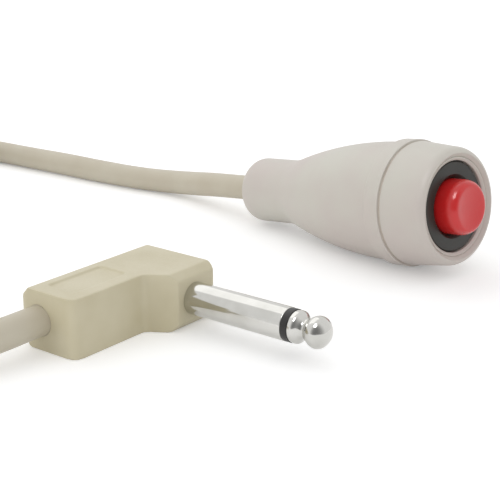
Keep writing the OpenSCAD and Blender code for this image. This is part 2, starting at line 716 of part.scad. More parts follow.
// A lug: a thin ring with a tail that points down the plug, towards the cord
module plug_lug(from, r, hole_r) {
    in_plug() difference() {
        union() {
            on_pin() disc(r, from, from + lug_t);
            translate([from, pin_y - lug_tail_l, plug_z - wire_d])
                cube([lug_t, lug_tail_l, 2 * wire_d]);
        }
        on_pin() disc(hole_r, from - over, from + lug_t + over);
    }
}
lug_tail_l = pin_d * 1.15;
module plug_tip_lug() {
    color("#B9A25A") plug_lug(lug_x, pin_d * 0.36, rod_d / 2 + seat);
}
module plug_sleeve_lug() {
    color("#B9A25A") plug_lug(sleeve_lug_x, sleeve_flange_r, root_r + seat);
}
module plug_jacket_end() {
    color("#BBB5A6") in_plug() translate([cord_in_x, -plug_l, plug_z]) rotate([-90, 0, 0])
        cylinder(r = cord_r, h = plug_cord_l);
}
plug_joint_y = pin_y - lug_tail_l + wire_d;
tip_wire_x = lug_x - wire_d / 2 - seat;
sleeve_wire_x = sleeve_lug_x - wire_d / 2 - seat;
module plug_conductors() {
    start_y = -plug_l + plug_cord_l + seat;
    ends = [tip_wire_x, sleeve_wire_x];
    color("#9A3B2E") in_plug() for (i = [0, 1]) {
        x = cord_in_x + (i - 0.5) * wire_spread;
        tube([[x, start_y, plug_z], [x, start_y + wire_d / 2, plug_z],
            [ends[i], plug_joint_y - 2 * wire_d, plug_z],
            [ends[i], plug_joint_y - wire_d / 2, plug_z]], wire_d, wire_sides);
    }
}
module plug_solder() {
    color("#BFC1C2") in_plug() for (x = [tip_wire_x, sleeve_wire_x])
        translate([x, plug_joint_y - wire_d / 2 + seat, plug_z]) rotate([-90, 0, 0])
            cylinder(d = wire_d, h = wire_d, $fn = 24);
}

bell_housing();
front_cap();
cap_seal();
switch_bushing();
flange_gasket();
lock_washer();
barrel_nut();
button();
button_stem();
stem_clip();
contact_bridge();
bridge_rivets();
return_spring();
switch_base();
terminal_left();
terminal_right();
terminal_rivets();
cord_grommet();
anchor_washer();
cord_ferrule();
jacket_end();
conductor_live();
conductor_return();
switch_solder();
lug_sleeves();
cord_lead();
cord_coil();
cord_tail();
coil_ties();
plug_body();
plug_core();
plug_sleeve();
plug_insulator();
plug_tip();
plug_rear_washer();
plug_tip_lug();
plug_sleeve_lug();
plug_jacket_end();
plug_conductors();
plug_solder();
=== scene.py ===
"""Looks of a nurse call button: a bell-shaped handset with one red push button, on a round cord
that ends in a right-angle jack plug.

Everything is in metres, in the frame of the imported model: the origin is on the table under the
middle of the handset, +X runs from the cord end to the button and +Z is up. A station is a
distance along the handset's axis, counted from its cord end.
"""

from __future__ import annotations

import json
import logging
import math
from dataclasses import dataclass
from enum import Enum
from typing import Sequence

import bmesh
import bpy
from mathutils import Matrix, Vector

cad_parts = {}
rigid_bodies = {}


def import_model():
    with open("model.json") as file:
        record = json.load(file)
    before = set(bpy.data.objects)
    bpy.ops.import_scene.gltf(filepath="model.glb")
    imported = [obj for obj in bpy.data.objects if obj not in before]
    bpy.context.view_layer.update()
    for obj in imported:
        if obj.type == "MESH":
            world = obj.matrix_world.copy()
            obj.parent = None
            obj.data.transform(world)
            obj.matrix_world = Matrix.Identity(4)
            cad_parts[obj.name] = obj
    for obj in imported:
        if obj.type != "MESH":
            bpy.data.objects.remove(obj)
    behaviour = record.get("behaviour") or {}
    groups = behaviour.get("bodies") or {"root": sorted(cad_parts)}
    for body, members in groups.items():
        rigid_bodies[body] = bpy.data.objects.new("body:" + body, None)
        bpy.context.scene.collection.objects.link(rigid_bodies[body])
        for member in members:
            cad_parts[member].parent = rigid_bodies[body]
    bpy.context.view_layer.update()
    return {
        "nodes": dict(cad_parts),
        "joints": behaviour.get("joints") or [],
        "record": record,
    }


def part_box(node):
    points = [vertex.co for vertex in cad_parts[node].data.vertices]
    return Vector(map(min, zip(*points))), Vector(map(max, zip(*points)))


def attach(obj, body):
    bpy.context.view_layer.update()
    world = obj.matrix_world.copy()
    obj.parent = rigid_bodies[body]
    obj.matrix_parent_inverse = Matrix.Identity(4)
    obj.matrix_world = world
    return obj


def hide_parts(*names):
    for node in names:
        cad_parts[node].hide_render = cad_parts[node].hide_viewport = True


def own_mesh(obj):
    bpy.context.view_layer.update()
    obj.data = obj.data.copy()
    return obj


log = logging.getLogger("nurse_call_button")

MM = 0.001
UP = Vector((0, 0, 1))
SMOOTH_ANGLE = math.radians(32)
MERGE_DISTANCE = 0.002 * MM
# Marks the small rounded edges of turned pieces, along which a lighter highlight is painted
EDGE_HIGHLIGHT = "painted_edge_highlight"
FOLLOW = "follow"


def add(tree: bpy.types.NodeTree, kind: str, inputs: dict | None = None,
        **settings: object) -> bpy.types.Node:
    """Adds a node to a tree.

    Args:
        tree: The tree that gets the node.
        kind: The node's type, as Blender names it.
        inputs: A value, or a socket to link from, for each input by its name or index.
        settings: The node's own properties.

    Returns:
        The new node.
    """
    node = tree.nodes.new(kind)
    for name, value in settings.items():
        setattr(node, name, value)
    for key, value in (inputs or {}).items():
        if isinstance(value, bpy.types.NodeSocket):
            tree.links.new(value, node.inputs[key])
        else:
            node.inputs[key].default_value = value
    return node


def blank_tree(owner: bpy.types.Material | bpy.types.World) -> bpy.types.NodeTree:
    """Gives a material or a world an empty tree.

    Args:
        owner: The material or the world.

    Returns:
        Its tree, without nodes.
    """
    owner.use_nodes = True
    owner.node_tree.nodes.clear()
    return owner.node_tree


def linear(hex_colour: str) -> tuple[float, float, float, float]:
    """Turns an sRGB colour into linear light.

    Args:
        hex_colour: Six hex digits.

    Returns:
        Red, green, blue and an alpha of 1.
    """
    parts = [int(hex_colour[i:i + 2], 16) / 255 for i in (0, 2, 4)]
    bent = [c / 12.92 if c <= 0.04045 else ((c + 0.055) / 1.055) ** 2.4 for c in parts]
    return (*bent, 1.0)


class Making(Enum):
    """How a surface was made. Its value is how far the fine pattern is drawn out along X, Y, Z."""

    MOULDED = (1.0, 1.0, 1.0)
    EXTRUDED = (0.25, 1.0, 1.0)
    ROLLED = (0.05, 1.0, 1.0)
    TURNED = (1.0, 0.04, 0.04)
    WOVEN = (0.9, 1.1, 1.0)


@dataclass(frozen=True)
class Finish:
    """A finish: what the surface is made of, how it was made and how it looks close by.

    The drift is the size of the pale and dark clouds, and the grain that of the fine pattern.
    Real grain is mostly under 0.1 mm, so it is drawn as coarse as it needs to show.
    """

    name: str
    making: Making
    tone: str
    drift_tone: str
    roughness: float
    metallic: float = 0.0
    ior: float = 1.5
    roughness_spread: float = 0.08
    drift_mm: float = 14.0
    grain_mm: float = 0.5
    grain_depth_mm: float = 0.008
    # A lighter tone painted along the rounded edges as a highlight, or none
    edge_highlight_tone: str | None = None
    coat: float = 0.0
    coat_roughness: float = 0.12
    heading: float = 0.0
    along_piece: bool = False

    # Blender's noise keeps most of its values between these two
    NOISE_SPAN = (0.3, 0.7)
    DRIFT_DETAIL = 3.0
    GRAIN_DETAIL = 4.0
    SMOOTHEST = 0.02

    def material(self) -> bpy.types.Material:
        """Builds the material: a slow drift between two tones, and a fine grain.

        Returns:
            The material, or the one that was built before.
        """
        made = bpy.data.materials.get(self.name)
        if made:
            return made
        made = bpy.data.materials.new(self.name)
        tree = blank_tree(made)
        if self.along_piece:
            where = add(tree, "ShaderNodeAttribute", attribute_name=FOLLOW).outputs["Vector"]
        else:
            where = add(tree, "ShaderNodeTexCoord").outputs["Object"]
        drift = add(tree, "ShaderNodeTexNoise", {
            "Vector": where, "Scale": 1 / (self.drift_mm * MM),
            "Detail": self.DRIFT_DETAIL}).outputs["Fac"]
        ramp = add(tree, "ShaderNodeValToRGB", {"Fac": drift})
        for stop, position, tone in zip(ramp.color_ramp.elements, self.NOISE_SPAN,
                                        (self.tone, self.drift_tone)):
            stop.position, stop.color = position, linear(tone)
        colour = self.paint_edge_highlight(tree, ramp.outputs["Color"])
        turned = add(tree, "ShaderNodeMapping", {
            "Vector": where, "Rotation": (0, 0, -math.radians(self.heading))})
        drawn = add(tree, "ShaderNodeMapping", {
            "Vector": turned.outputs["Vector"], "Scale": self.making.value})
        grain = add(tree, "ShaderNodeTexNoise", {
            "Vector": drawn.outputs["Vector"], "Scale": 1 / (self.grain_mm * MM),
            "Detail": self.GRAIN_DETAIL}).outputs["Fac"]
        rough = add(tree, "ShaderNodeMapRange", {
            "Value": grain, "From Min": self.NOISE_SPAN[0], "From Max": self.NOISE_SPAN[1],
            "To Min": max(self.SMOOTHEST, self.roughness - self.roughness_spread),
            "To Max": min(1.0, self.roughness + self.roughness_spread)})
        bump = add(tree, "ShaderNodeBump", {
            "Height": grain, "Distance": self.grain_depth_mm * MM, "Strength": 1.0})
        shader = add(tree, "ShaderNodeBsdfPrincipled", {
            "Base Color": colour, "Roughness": rough.outputs["Result"],
            "Metallic": self.metallic, "Normal": bump.outputs["Normal"]})
        if not self.metallic:
            shader.inputs["IOR"].default_value = self.ior
        shader.inputs["Coat Weight"].default_value = self.coat
        shader.inputs["Coat Roughness"].default_value = self.coat_roughness
        add(tree, "ShaderNodeOutputMaterial", {"Surface": shader.outputs["BSDF"]})
        return made

    def paint_edge_highlight(self, tree: bpy.types.NodeTree, colour: bpy.types.NodeSocket,
             ) -> bpy.types.NodeSocket:
        """Paints a highlight on the rounded edges, which a piece marks, in a lighter tone of their
        own.

        Args:
            tree: The material's tree.
            colour: The colour away from the edges.

        Returns:
            The colour everywhere.
        """
        if self.edge_highlight_tone is None:
            return colour
        # Painted highlight: the rounded edges get the lighter tone, whatever the light
        edge = add(tree, "ShaderNodeAttribute", attribute_name=EDGE_HIGHLIGHT).outputs["Fac"]
        mix = add(tree, "ShaderNodeMix", {0: edge, 6: colour, 7: linear(self.edge_highlight_tone)},
                  data_type="RGBA", clamp_factor=True)
        return mix.outputs[2]


class Finishes:
    """Every finish of the object, under the material slots of the model's record."""

    # Injection-moulded ABS from a spark-eroded mould: satin, with a drift from warm to neutral and
    # a painted highlight on its rounded edges
    SHELL = Finish("moulded ABS, warm light grey", Making.MOULDED, "CBC8BE", "C8BEB8", 0.46,
                   ior=1.53, drift_mm=16, grain_mm=0.45, grain_depth_mm=0.006,
                   roughness_spread=0.05, edge_highlight_tone="D0CBC4")
    # Die-cut nitrile rubber: matt and a shade darker than the shells, the line of the seam
    SEAL = Finish("nitrile rubber seal", Making.MOULDED, "C0B7AC", "B8AEA2", 0.7,
                  drift_mm=4, grain_mm=0.3)
    # Glass-filled nylon: a charcoal satin, with a painted highlight of lighter grey on its rounded
    # edges
    NYLON = Finish("glass-filled nylon, black", Making.MOULDED, "2C2C28", "32322E", 0.36,
                   ior=1.42, drift_mm=5, grain_mm=0.3, grain_depth_mm=0.008,
                   edge_highlight_tone="3A3A36")
    # Cut from rubber sheet: dead matt and nearly black
    GASKET = Finish("rubber gasket, black", Making.MOULDED, "1B1A19", "222120", 0.65,
                    grain_mm=0.3)
    # Bright zinc on steel: a bluish grey with rolling lines
    ZINC = Finish("bright zinc-plated steel", Making.ROLLED, "B9BBBA", "A6A9A9", 0.3,
                  metallic=1.0, drift_mm=6, grain_mm=0.25)
    # ABS from a polished mould: a deep, clear red with one sharp highlight on its edge
    BUTTON = Finish("polished ABS, signal red", Making.MOULDED, "D02425", "C82122", 0.2,
                    ior=1.54, drift_mm=9, grain_mm=0.7, grain_depth_mm=0.002,
                    roughness_spread=0.05, coat=0.12, coat_roughness=0.08)
    # Acetal without dye: milky and slippery, with a soft sheen
    ACETAL = Finish("acetal, natural", Making.MOULDED, "DAD6C9", "D0CBBC", 0.38,
                    grain_mm=0.4)
    # Wire drawn through a die: grey and bright, with fine lines along it
    SPRING = Finish("drawn spring steel", Making.TURNED, "A9AAA8", "8E8F8E", 0.28,
                    metallic=1.0, drift_mm=3, grain_mm=0.15)
    # Punched from rolled brass strip: warm yellow with the lines of the rollers
    BRASS = Finish("stamped brass strip", Making.ROLLED, "C09A4A", "AE8839", 0.3,
                   metallic=1.0, drift_mm=4, grain_mm=0.2)
    # Silver rivets, turned: nearly white
    SILVER = Finish("silver contact", Making.TURNED, "D9D9D6", "C9C9C5", 0.22, metallic=1.0,
                    grain_mm=0.2)
    # Paper pressed with phenolic resin: brown, with fibres that show along the sheet
    PHENOLIC = Finish("phenolic paper board", Making.ROLLED, "6A4630", "55371F", 0.5,
                      drift_mm=3, grain_mm=0.35, grain_depth_mm=0.01)
    # Soft PVC squeezed round the cores: a satin beige-grey with faint ridges of their lay
    CORD = Finish("cord jacket, soft PVC", Making.EXTRUDED, "C6BFAD", "BFB6A3", 0.44,
                  ior=1.53, drift_mm=11, grain_mm=0.55, grain_depth_mm=0.008,
                  along_piece=True)
    # The same soft PVC without gloss, a step greyer
    GROMMET = Finish("soft PVC grommet", Making.MOULDED, "9A968C", "8E8A80", 0.6)
    # Insulation squeezed round the wires: smooth and evenly dyed
    CORE_RED = Finish("core insulation, red", Making.EXTRUDED, "A23B2F", "8F3227", 0.35)
    CORE_BLUE = Finish("core insulation, blue", Making.EXTRUDED, "3A5E8C", "31517B", 0.35)
    # Tin solder that has set: bright, with a slightly wrinkled skin
    SOLDER = Finish("tin solder", Making.MOULDED, "C3C5C6", "AEB1B3", 0.3, metallic=1.0,
                    drift_mm=1.5, grain_mm=0.4, grain_depth_mm=0.02)
    # Heat-shrink tube: black satin
    SHRINK = Finish("heat-shrink sleeve", Making.EXTRUDED, "242424", "2C2C2B", 0.45)
    # Hook-and-loop strap: matt nylon loops, drawn coarser than the real pile so that they show
    STRAP = Finish("loop strap, dark grey nylon", Making.WOVEN, "3D3D3C", "2F2F2E", 0.9,
                   drift_mm=2.5, grain_mm=0.35, grain_depth_mm=0.12, roughness_spread=0.05)
    # Cream PVC moulded over the plug: satin, a little yellower in places
    PLUG = Finish("plug moulding, cream PVC", Making.MOULDED, "CFC7AC", "C6BD9F", 0.42,
                  ior=1.53, drift_mm=9, grain_mm=0.45, grain_depth_mm=0.008)
    # Unfilled polypropylene: off-white and a little waxy
    CORE_BODY = Finish("polypropylene core", Making.MOULDED, "E2DECF", "D6D1BF", 0.4)
    # Nickel on turned brass: a mirror with faint rings left by the lathe
    NICKEL = Finish("nickel-plated brass", Making.TURNED, "D2D1CD", "C4C3BE", 0.13,
                    metallic=1.0, drift_mm=5, grain_mm=0.2, grain_depth_mm=0.001,
                    roughness_spread=0.04, heading=8)
    # Turned black nylon: smooth enough to catch a thin line of light
    PIN_RING = Finish("pin ring, black nylon", Making.TURNED, "191817", "211F1E", 0.32)

    BY_SLOT = {
        "abs_shell": SHELL, "seal_rubber": SEAL, "black_nylon": NYLON,
        "gasket_rubber": GASKET, "zinc_steel": ZINC, "red_button": BUTTON,
        "natural_acetal": ACETAL, "spring_steel": SPRING, "brass_strip": BRASS,
        "silver_contact": SILVER, "phenolic": PHENOLIC, "soft_pvc_grey": GROMMET,
        "cord_pvc": CORD, "wire_red": CORE_RED, "wire_blue": CORE_BLUE, "solder": SOLDER,
        "shrink_black": SHRINK, "tie_nylon": STRAP, "plug_pvc": PLUG,
        "plug_core_pp": CORE_BODY, "nickel_pin": NICKEL, "pin_black": PIN_RING,
        "tinned_lug": BRASS,
    }


class Recipe:
    """A Geometry Nodes tree with named inputs, and what turns its result into a plain mesh."""

    def __init__(self, name: str, inputs: dict[str, tuple[str, object]]) -> None:
        """Makes the tree's own sockets.

        Args:
            name: The tree's name.
            inputs: The kind and the usual value of each input, by its name.
        """
        self.tree = bpy.data.node_groups.new(name, "GeometryNodeTree")
        interface = self.tree.interface
        interface.new_socket("Geometry", in_out="INPUT", socket_type="NodeSocketGeometry")
        self.keys: dict[str, str] = {}
        for label, (kind, value) in {**inputs, "Material": ("NodeSocketMaterial", None)}.items():
            socket = interface.new_socket(label, in_out="INPUT", socket_type=kind)
            if value is not None:
                socket.default_value = value
            self.keys[label] = socket.identifier
        interface.new_socket("Geometry", in_out="OUTPUT", socket_type="NodeSocketGeometry")
        self.given = add(self.tree, "NodeGroupInput").outputs

    def add(self, kind: str, inputs: dict | None = None, **settings: object) -> bpy.types.Node:
        """Adds a node to this recipe's tree, as the function of the same name does."""
        return add(self.tree, kind, inputs, **settings)

    def end(self, geometry: bpy.types.NodeSocket) -> None:
        """Ends the tree in real geometry with its material.

        Args:
            geometry: The socket that holds the finished shape.
        """
        real = self.add("GeometryNodeRealizeInstances", {"Geometry": geometry})
        dressed = self.add("GeometryNodeSetMaterial", {
            "Geometry": real.outputs["Geometry"], "Material": self.given["Material"]})
        self.add("NodeGroupOutput", {0: dressed.outputs["Geometry"]})

    def run(self, name: str, source: bpy.types.Mesh, finish: Finish,
            values: dict[str, object] | None = None) -> bpy.types.Object:
        """Runs the tree on a mesh of points and edges.

        Args:
            name: The new piece's name.
            source: The points that the tree starts from, which are used up.
            finish: The piece's finish.
            values: Values for the tree's inputs, by name.

        Returns:
            A piece with a plain mesh and no modifier.
        """
        rough = new_piece(name + "_source", source)
        modifier = rough.modifiers.new("recipe", "NODES")
        modifier.node_group = self.tree
        for label, value in {"Material": finish.material(), **(values or {})}.items():
            modifier[self.keys[label]] = value
        mesh = evaluated_mesh(rough)
        bpy.data.objects.remove(rough)
        bpy.data.meshes.remove(source)
        return new_piece(name, mesh)


def evaluated_mesh(obj: bpy.types.Object) -> bpy.types.Mesh:
    """Gives an object's mesh with its modifiers applied."""
    graph = bpy.context.evaluated_depsgraph_get()
    return bpy.data.meshes.new_from_object(obj.evaluated_get(graph))


def apply_modifiers(piece: bpy.types.Object) -> None:
    """Turns a piece's mesh into what its modifiers make of it, and removes them.

    Args:
        piece: The piece.
    """
    mesh = evaluated_mesh(piece)
    piece.modifiers.clear()
    piece.data = mesh


def new_piece(name: str, mesh: bpy.types.Mesh) -> bpy.types.Object:
    """Puts a mesh into the scene as a piece at the origin.

    Args:
        name: The name of the piece and of its mesh.
        mesh: The mesh.

    Returns:
        The piece.
    """
    mesh.name = name
    piece = bpy.data.objects.new(name, mesh)
    bpy.context.scene.collection.objects.link(piece)
    return piece


def settle(piece: bpy.types.Object, place: Matrix | None = None) -> bpy.types.Object:
    """Merges a piece's doubles, turns its faces outwards, places it and shades it smooth.

    Args:
        piece: The piece, whose object stays at the origin.
        place: Where its mesh goes.

    Returns:
        The same piece.
    """
    shape = bmesh.new()
    shape.from_mesh(piece.data)
    bmesh.ops.remove_doubles(shape, verts=shape.verts, dist=MERGE_DISTANCE)
    bmesh.ops.dissolve_degenerate(shape, dist=MERGE_DISTANCE / 4, edges=shape.edges)
    bmesh.ops.recalc_face_normals(shape, faces=shape.faces)
    shape.to_mesh(piece.data)
    shape.free()
    if place is not None:
        piece.data.transform(place)
    piece.data.shade_smooth()
    piece.data.set_sharp_from_angle(angle=SMOOTH_ANGLE)
    return piece


def placing(across: Vector, ahead: Vector, up: Vector, start: Vector) -> Matrix:
    """Works out the place of a piece that is made in a frame of its own.

    Args:
        across: Where the piece's own +X points.
        ahead: Where its own +Y points.
        up: Where its own +Z points.
        start: Where its own origin lies.

    Returns:
        The place.
    """
    columns = (across, ahead, up, start)
    return Matrix([[c[row] for c in columns] for row in range(3)] + [[0, 0, 0, 1]])


def enlist(piece: bpy.types.Object, slot: str, *nodes: str, body: str = "root") -> None:
    """Lets a piece move with a body and stand for nodes of the model, and reports it.

    Args:
        piece: The finished piece.
        slot: The record's material slot that its finish belongs to; it is not used.
        nodes: The nodes that it stands for.
        body: The body that it moves with.
    """
    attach(piece, body)
    if nodes:
        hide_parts(*nodes)
    log.info("%s: %d faces on %s, for %s", piece.name, len(piece.data.polygons), body,
             ", ".join(nodes) or "no node")


def points_mesh(name: str, points: Sequence[Sequence[float]], closed: bool) -> bpy.types.Mesh:
    """Makes a mesh of points that edges join in order.

    Args:
        name: The mesh's name.
        points: The points in order.
        closed: Whether an edge joins the last point to the first.

    Returns:
        The mesh, which has no faces.
    """
    edges = [(i, i + 1) for i in range(len(points) - 1)]
    if closed:
        edges.append((len(points) - 1, 0))
    mesh = bpy.data.meshes.new(name)
    mesh.from_pydata([tuple(p) for p in points], edges, [])
    return mesh


@dataclass(frozen=True)
class Corner:
    """A corner of an outline: how far along and how far out it is, and its rounding."""

    along: float
    out: float
    rounding: float = 0.0


# How many steps a rounded corner has, how much of a side it may take up, the least turn that
# is rounded and the least that counts as an edge, which gets a painted highlight
ROUND_STEPS = 5
ROUND_SHARE = 0.45
ROUND_TURN = math.radians(1)
EDGE_TURN = math.radians(25)


def rounded(corners: Sequence[Corner]) -> tuple[list[Corner], list[float]]:
    """Rounds the corners of a closed outline.

    Args:
        corners: The outline's corners in order.

    Returns:
        The points, and for each how much of an edge it is, from 0 to 1.
    """
    points: list[Corner] = []
    edges: list[float] = []
    for i, corner in enumerate(corners):
        before, after = corners[i - 1], corners[(i + 1) % len(corners)]
        here = Vector((corner.along, corner.out))
        back = Vector((before.along, before.out)) - here
        ahead = Vector((after.along, after.out)) - here
        turn = math.pi - back.angle(ahead, math.pi)
        if corner.rounding <= 0 or turn < ROUND_TURN:
            points.append(corner)
            edges.append(0.0)
            continue
        cut = min(corner.rounding * math.tan(turn / 2), ROUND_SHARE * back.length,
                  ROUND_SHARE * ahead.length)
        first = here + back.normalized() * cut
        last = here + ahead.normalized() * cut
        for k in range(ROUND_STEPS + 1):
            t = k / ROUND_STEPS
            p = first * (1 - t) ** 2 + here * 2 * t * (1 - t) + last * t ** 2
            points.append(Corner(p.x, p.y))
            edges.append(math.sin(math.pi * t) if turn > EDGE_TURN else 0.0)
    return points, edges


def arc(centre: Corner, reach: tuple[float, float], start: float, end: float,
        steps: int) -> list[Corner]:
    """Draws a stretch of an ellipse.

    Args:
        centre: Its middle.
        reach: Its half axes, along and out.
        start: First angle in degrees, from along towards out.
        end: Last angle in degrees.
        steps: How many parts it has.

    Returns:
        The points, both ends among them.
    """
    angles = [math.radians(start + (end - start) * i / steps) for i in range(steps + 1)]
    return [Corner(centre.along + reach[0] * math.cos(a), centre.out + reach[1] * math.sin(a))
            for a in angles]


def smooth_line(points: Sequence[Vector], spacing: float) -> list[Vector]:
    """Runs one smooth curve through points, a centripetal Catmull-Rom curve.

    Args:
        points: The points that it passes through.
        spacing: The longest step between two points of the line.

    Returns:
        The points of the line, both ends among them.
    """
    ends = [2 * points[0] - points[1], *points, 2 * points[-1] - points[-2]]
    line: list[Vector] = []
    for a, b, c, d in zip(ends, ends[1:], ends[2:], ends[3:]):
        t1 = math.sqrt((b - a).length)
        t2 = t1 + math.sqrt((c - b).length)
        t3 = t2 + math.sqrt((d - c).length)
        steps = max(1, math.ceil((c - b).length / spacing))
        for k in range(steps):
            t = t1 + (t2 - t1) * k / steps
            ab, bc, cd = (a.lerp(b, t / t1), b.lerp(c, (t - t1) / (t2 - t1)),
                          c.lerp(d, (t - t2) / (t3 - t2)))
            line.append(ab.lerp(bc, t / t2).lerp(bc.lerp(cd, (t - t1) / (t3 - t1)),
                                                 (t - t1) / (t2 - t1)))
    return [*line, points[-1].copy()]


def helix(radius: float, start: float, end: float, turns: float, steps: int) -> list[Vector]:
    """Lays points on a helix about +Z.

    Args:
        radius: Its radius.
        start: Its lowest height.
        end: Its highest height.
        turns: How often it goes round.
        steps: Points in a turn.

    Returns:
        The points from the lowest to the highest.
    """
    count = round(turns * steps)
    return [Vector((radius * math.cos(math.tau * i / steps),
                    radius * math.sin(math.tau * i / steps),
                    start + (end - start) * i / count)) for i in range(count + 1)]


class Turned:
    """Turns closed outlines about an axis with one Geometry Nodes tree."""

    CIRCLE = 1 * MM
    SEGMENTS = 144

    def __init__(self) -> None:
        """Builds the tree: the outline is the profile of a small circle."""
        recipe = self.recipe = Recipe("turned piece", {
            "Circle Radius": ("NodeSocketFloat", self.CIRCLE),
            "Segments": ("NodeSocketInt", self.SEGMENTS)})
        circle = recipe.add("GeometryNodeCurvePrimitiveCircle", {
            "Resolution": recipe.given["Segments"], "Radius": recipe.given["Circle Radius"]})
        outline = recipe.add("GeometryNodeMeshToCurve", {"Mesh": recipe.given["Geometry"]})
        skin = recipe.add("GeometryNodeCurveToMesh", {
            "Curve": circle.outputs["Curve"], "Profile Curve": outline.outputs["Curve"]})
        recipe.end(skin.outputs["Mesh"])

    def make(self, name: str, corners: Sequence[Corner], place: Matrix, finish: Finish,
             segments: int = SEGMENTS) -> bpy.types.Object:
        """Turns one closed outline.

        Args:
            name: The piece's name.
            corners: The outline. A corner that is 0 out lies on the axis.
            place: Where the piece goes; its own axis is +Z.
            finish: The piece's finish.
            segments: How many faces go round.

        Returns:
            The piece.
        """
        points, edges = rounded(corners)
        mesh = points_mesh(name, [(p.out - self.CIRCLE, -p.along, 0) for p in points],
                           closed=True)
        # How much of a rounded edge each point is, which the painted edge highlight follows
        mesh.attributes.new(EDGE_HIGHLIGHT, "FLOAT", "POINT").data.foreach_set("value", edges)
        piece = self.recipe.run(name, mesh, finish, {"Segments": segments})
        return settle(piece, place)


class Swept:
    """Sweeps a round skin along a line of points with one Geometry Nodes tree."""

    RADIUS = 3 * MM
    SIDES = 24
    RIDGE_PITCH = 40 * MM
    RIDGES = 2.0

    def __init__(self) -> None:
        """Builds the tree: a circle follows the line, with faint furrows wound into it."""
        recipe = self.recipe = Recipe("swept cord", {
            "Radius": ("NodeSocketFloat", self.RADIUS),
            "Sides": ("NodeSocketInt", self.SIDES), "Ridge Height": ("NodeSocketFloat", 0.0),
            "Ridge Pitch": ("NodeSocketFloat", self.RIDGE_PITCH),
            "Ridges": ("NodeSocketFloat", self.RIDGES)})
        given = recipe.given
        line = recipe.add("GeometryNodeMeshToCurve", {"Mesh": given["Geometry"]})
        circle = recipe.add("GeometryNodeCurvePrimitiveCircle", {
            "Resolution": given["Sides"], "Radius": given["Radius"]})
        along = self.store(line.outputs["Curve"], "along", "Length")
        around = self.store(circle.outputs["Curve"], "around", "Factor")
        skin = recipe.add("GeometryNodeCurveToMesh", {
            "Curve": along, "Profile Curve": around, "Fill Caps": True})
        share, travel = (recipe.add("GeometryNodeInputNamedAttribute", {"Name": name},
                                    data_type="FLOAT").outputs["Attribute"]
                         for name in ("around", "along"))
        turn = self.maths("MULTIPLY", share, math.tau)
        winding = self.maths("SUBTRACT", self.maths("MULTIPLY", turn, given["Ridges"]),
                             self.maths("MULTIPLY", self.maths(
                                 "DIVIDE", travel, given["Ridge Pitch"]), math.tau))
        height = self.maths("MULTIPLY", self.maths(
            "SUBTRACT", self.maths("COSINE", winding, 0.0), 1.0), given["Ridge Height"])
        offset = recipe.add("ShaderNodeVectorMath", {
            0: recipe.add("GeometryNodeInputNormal").outputs["Normal"], "Scale": height},
            operation="SCALE")
        ridged = recipe.add("GeometryNodeSetPosition", {
            "Geometry": skin.outputs["Mesh"], "Offset": offset.outputs["Vector"]})
        follow = recipe.add("ShaderNodeCombineXYZ", {
            "X": travel,
            "Y": self.maths("MULTIPLY", self.maths("COSINE", turn, 0.0), given["Radius"]),
            "Z": self.maths("MULTIPLY", self.maths("SINE", turn, 0.0), given["Radius"])})
        marked = recipe.add("GeometryNodeStoreNamedAttribute", {
            "Geometry": ridged.outputs["Geometry"], "Name": FOLLOW,
            "Value": follow.outputs["Vector"]}, data_type="FLOAT_VECTOR", domain="POINT")
        recipe.end(marked.outputs["Geometry"])

    def maths(self, operation: str, first: bpy.types.NodeSocket,
              second: bpy.types.NodeSocket | float) -> bpy.types.NodeSocket:
        """Adds one step of a sum to the tree.

        Args:
            operation: What the step does, as Blender names it.
            first: Its first value.
            second: Its second value, which a step of one value ignores.

        Returns:
            The result.
        """
        return self.recipe.add("ShaderNodeMath", {0: first, 1: second},
                               operation=operation).outputs[0]

    def store(self, curve: bpy.types.NodeSocket, name: str, what: str) -> bpy.types.NodeSocket:
        """Stores how far along its spline each point of a curve is.

        Args:
            curve: The curve.
            name: The attribute that holds it.
            what: Factor for a share of the spline, Length for metres.

        Returns:
            The curve with the attribute.
        """
        value = self.recipe.add("GeometryNodeSplineParameter").outputs[what]
        stored = self.recipe.add("GeometryNodeStoreNamedAttribute", {
            "Geometry": curve, "Name": name, "Value": value},
            data_type="FLOAT", domain="POINT")
        return stored.outputs["Geometry"]

    def make(self, name: str, line: Sequence[Vector], finish: Finish,
             values: dict[str, object], place: Matrix | None = None) -> bpy.types.Object:
        """Sweeps one line.

        Args:
            name: The piece's name.
            line: The points that the skin follows.
            finish: The piece's finish.
            values: Values for the tree's inputs, by name.
            place: Where the piece goes.

        Returns:
            The piece.
        """
        mesh = points_mesh(name, line, closed=False)
        return settle(self.recipe.run(name, mesh, finish, values), place)


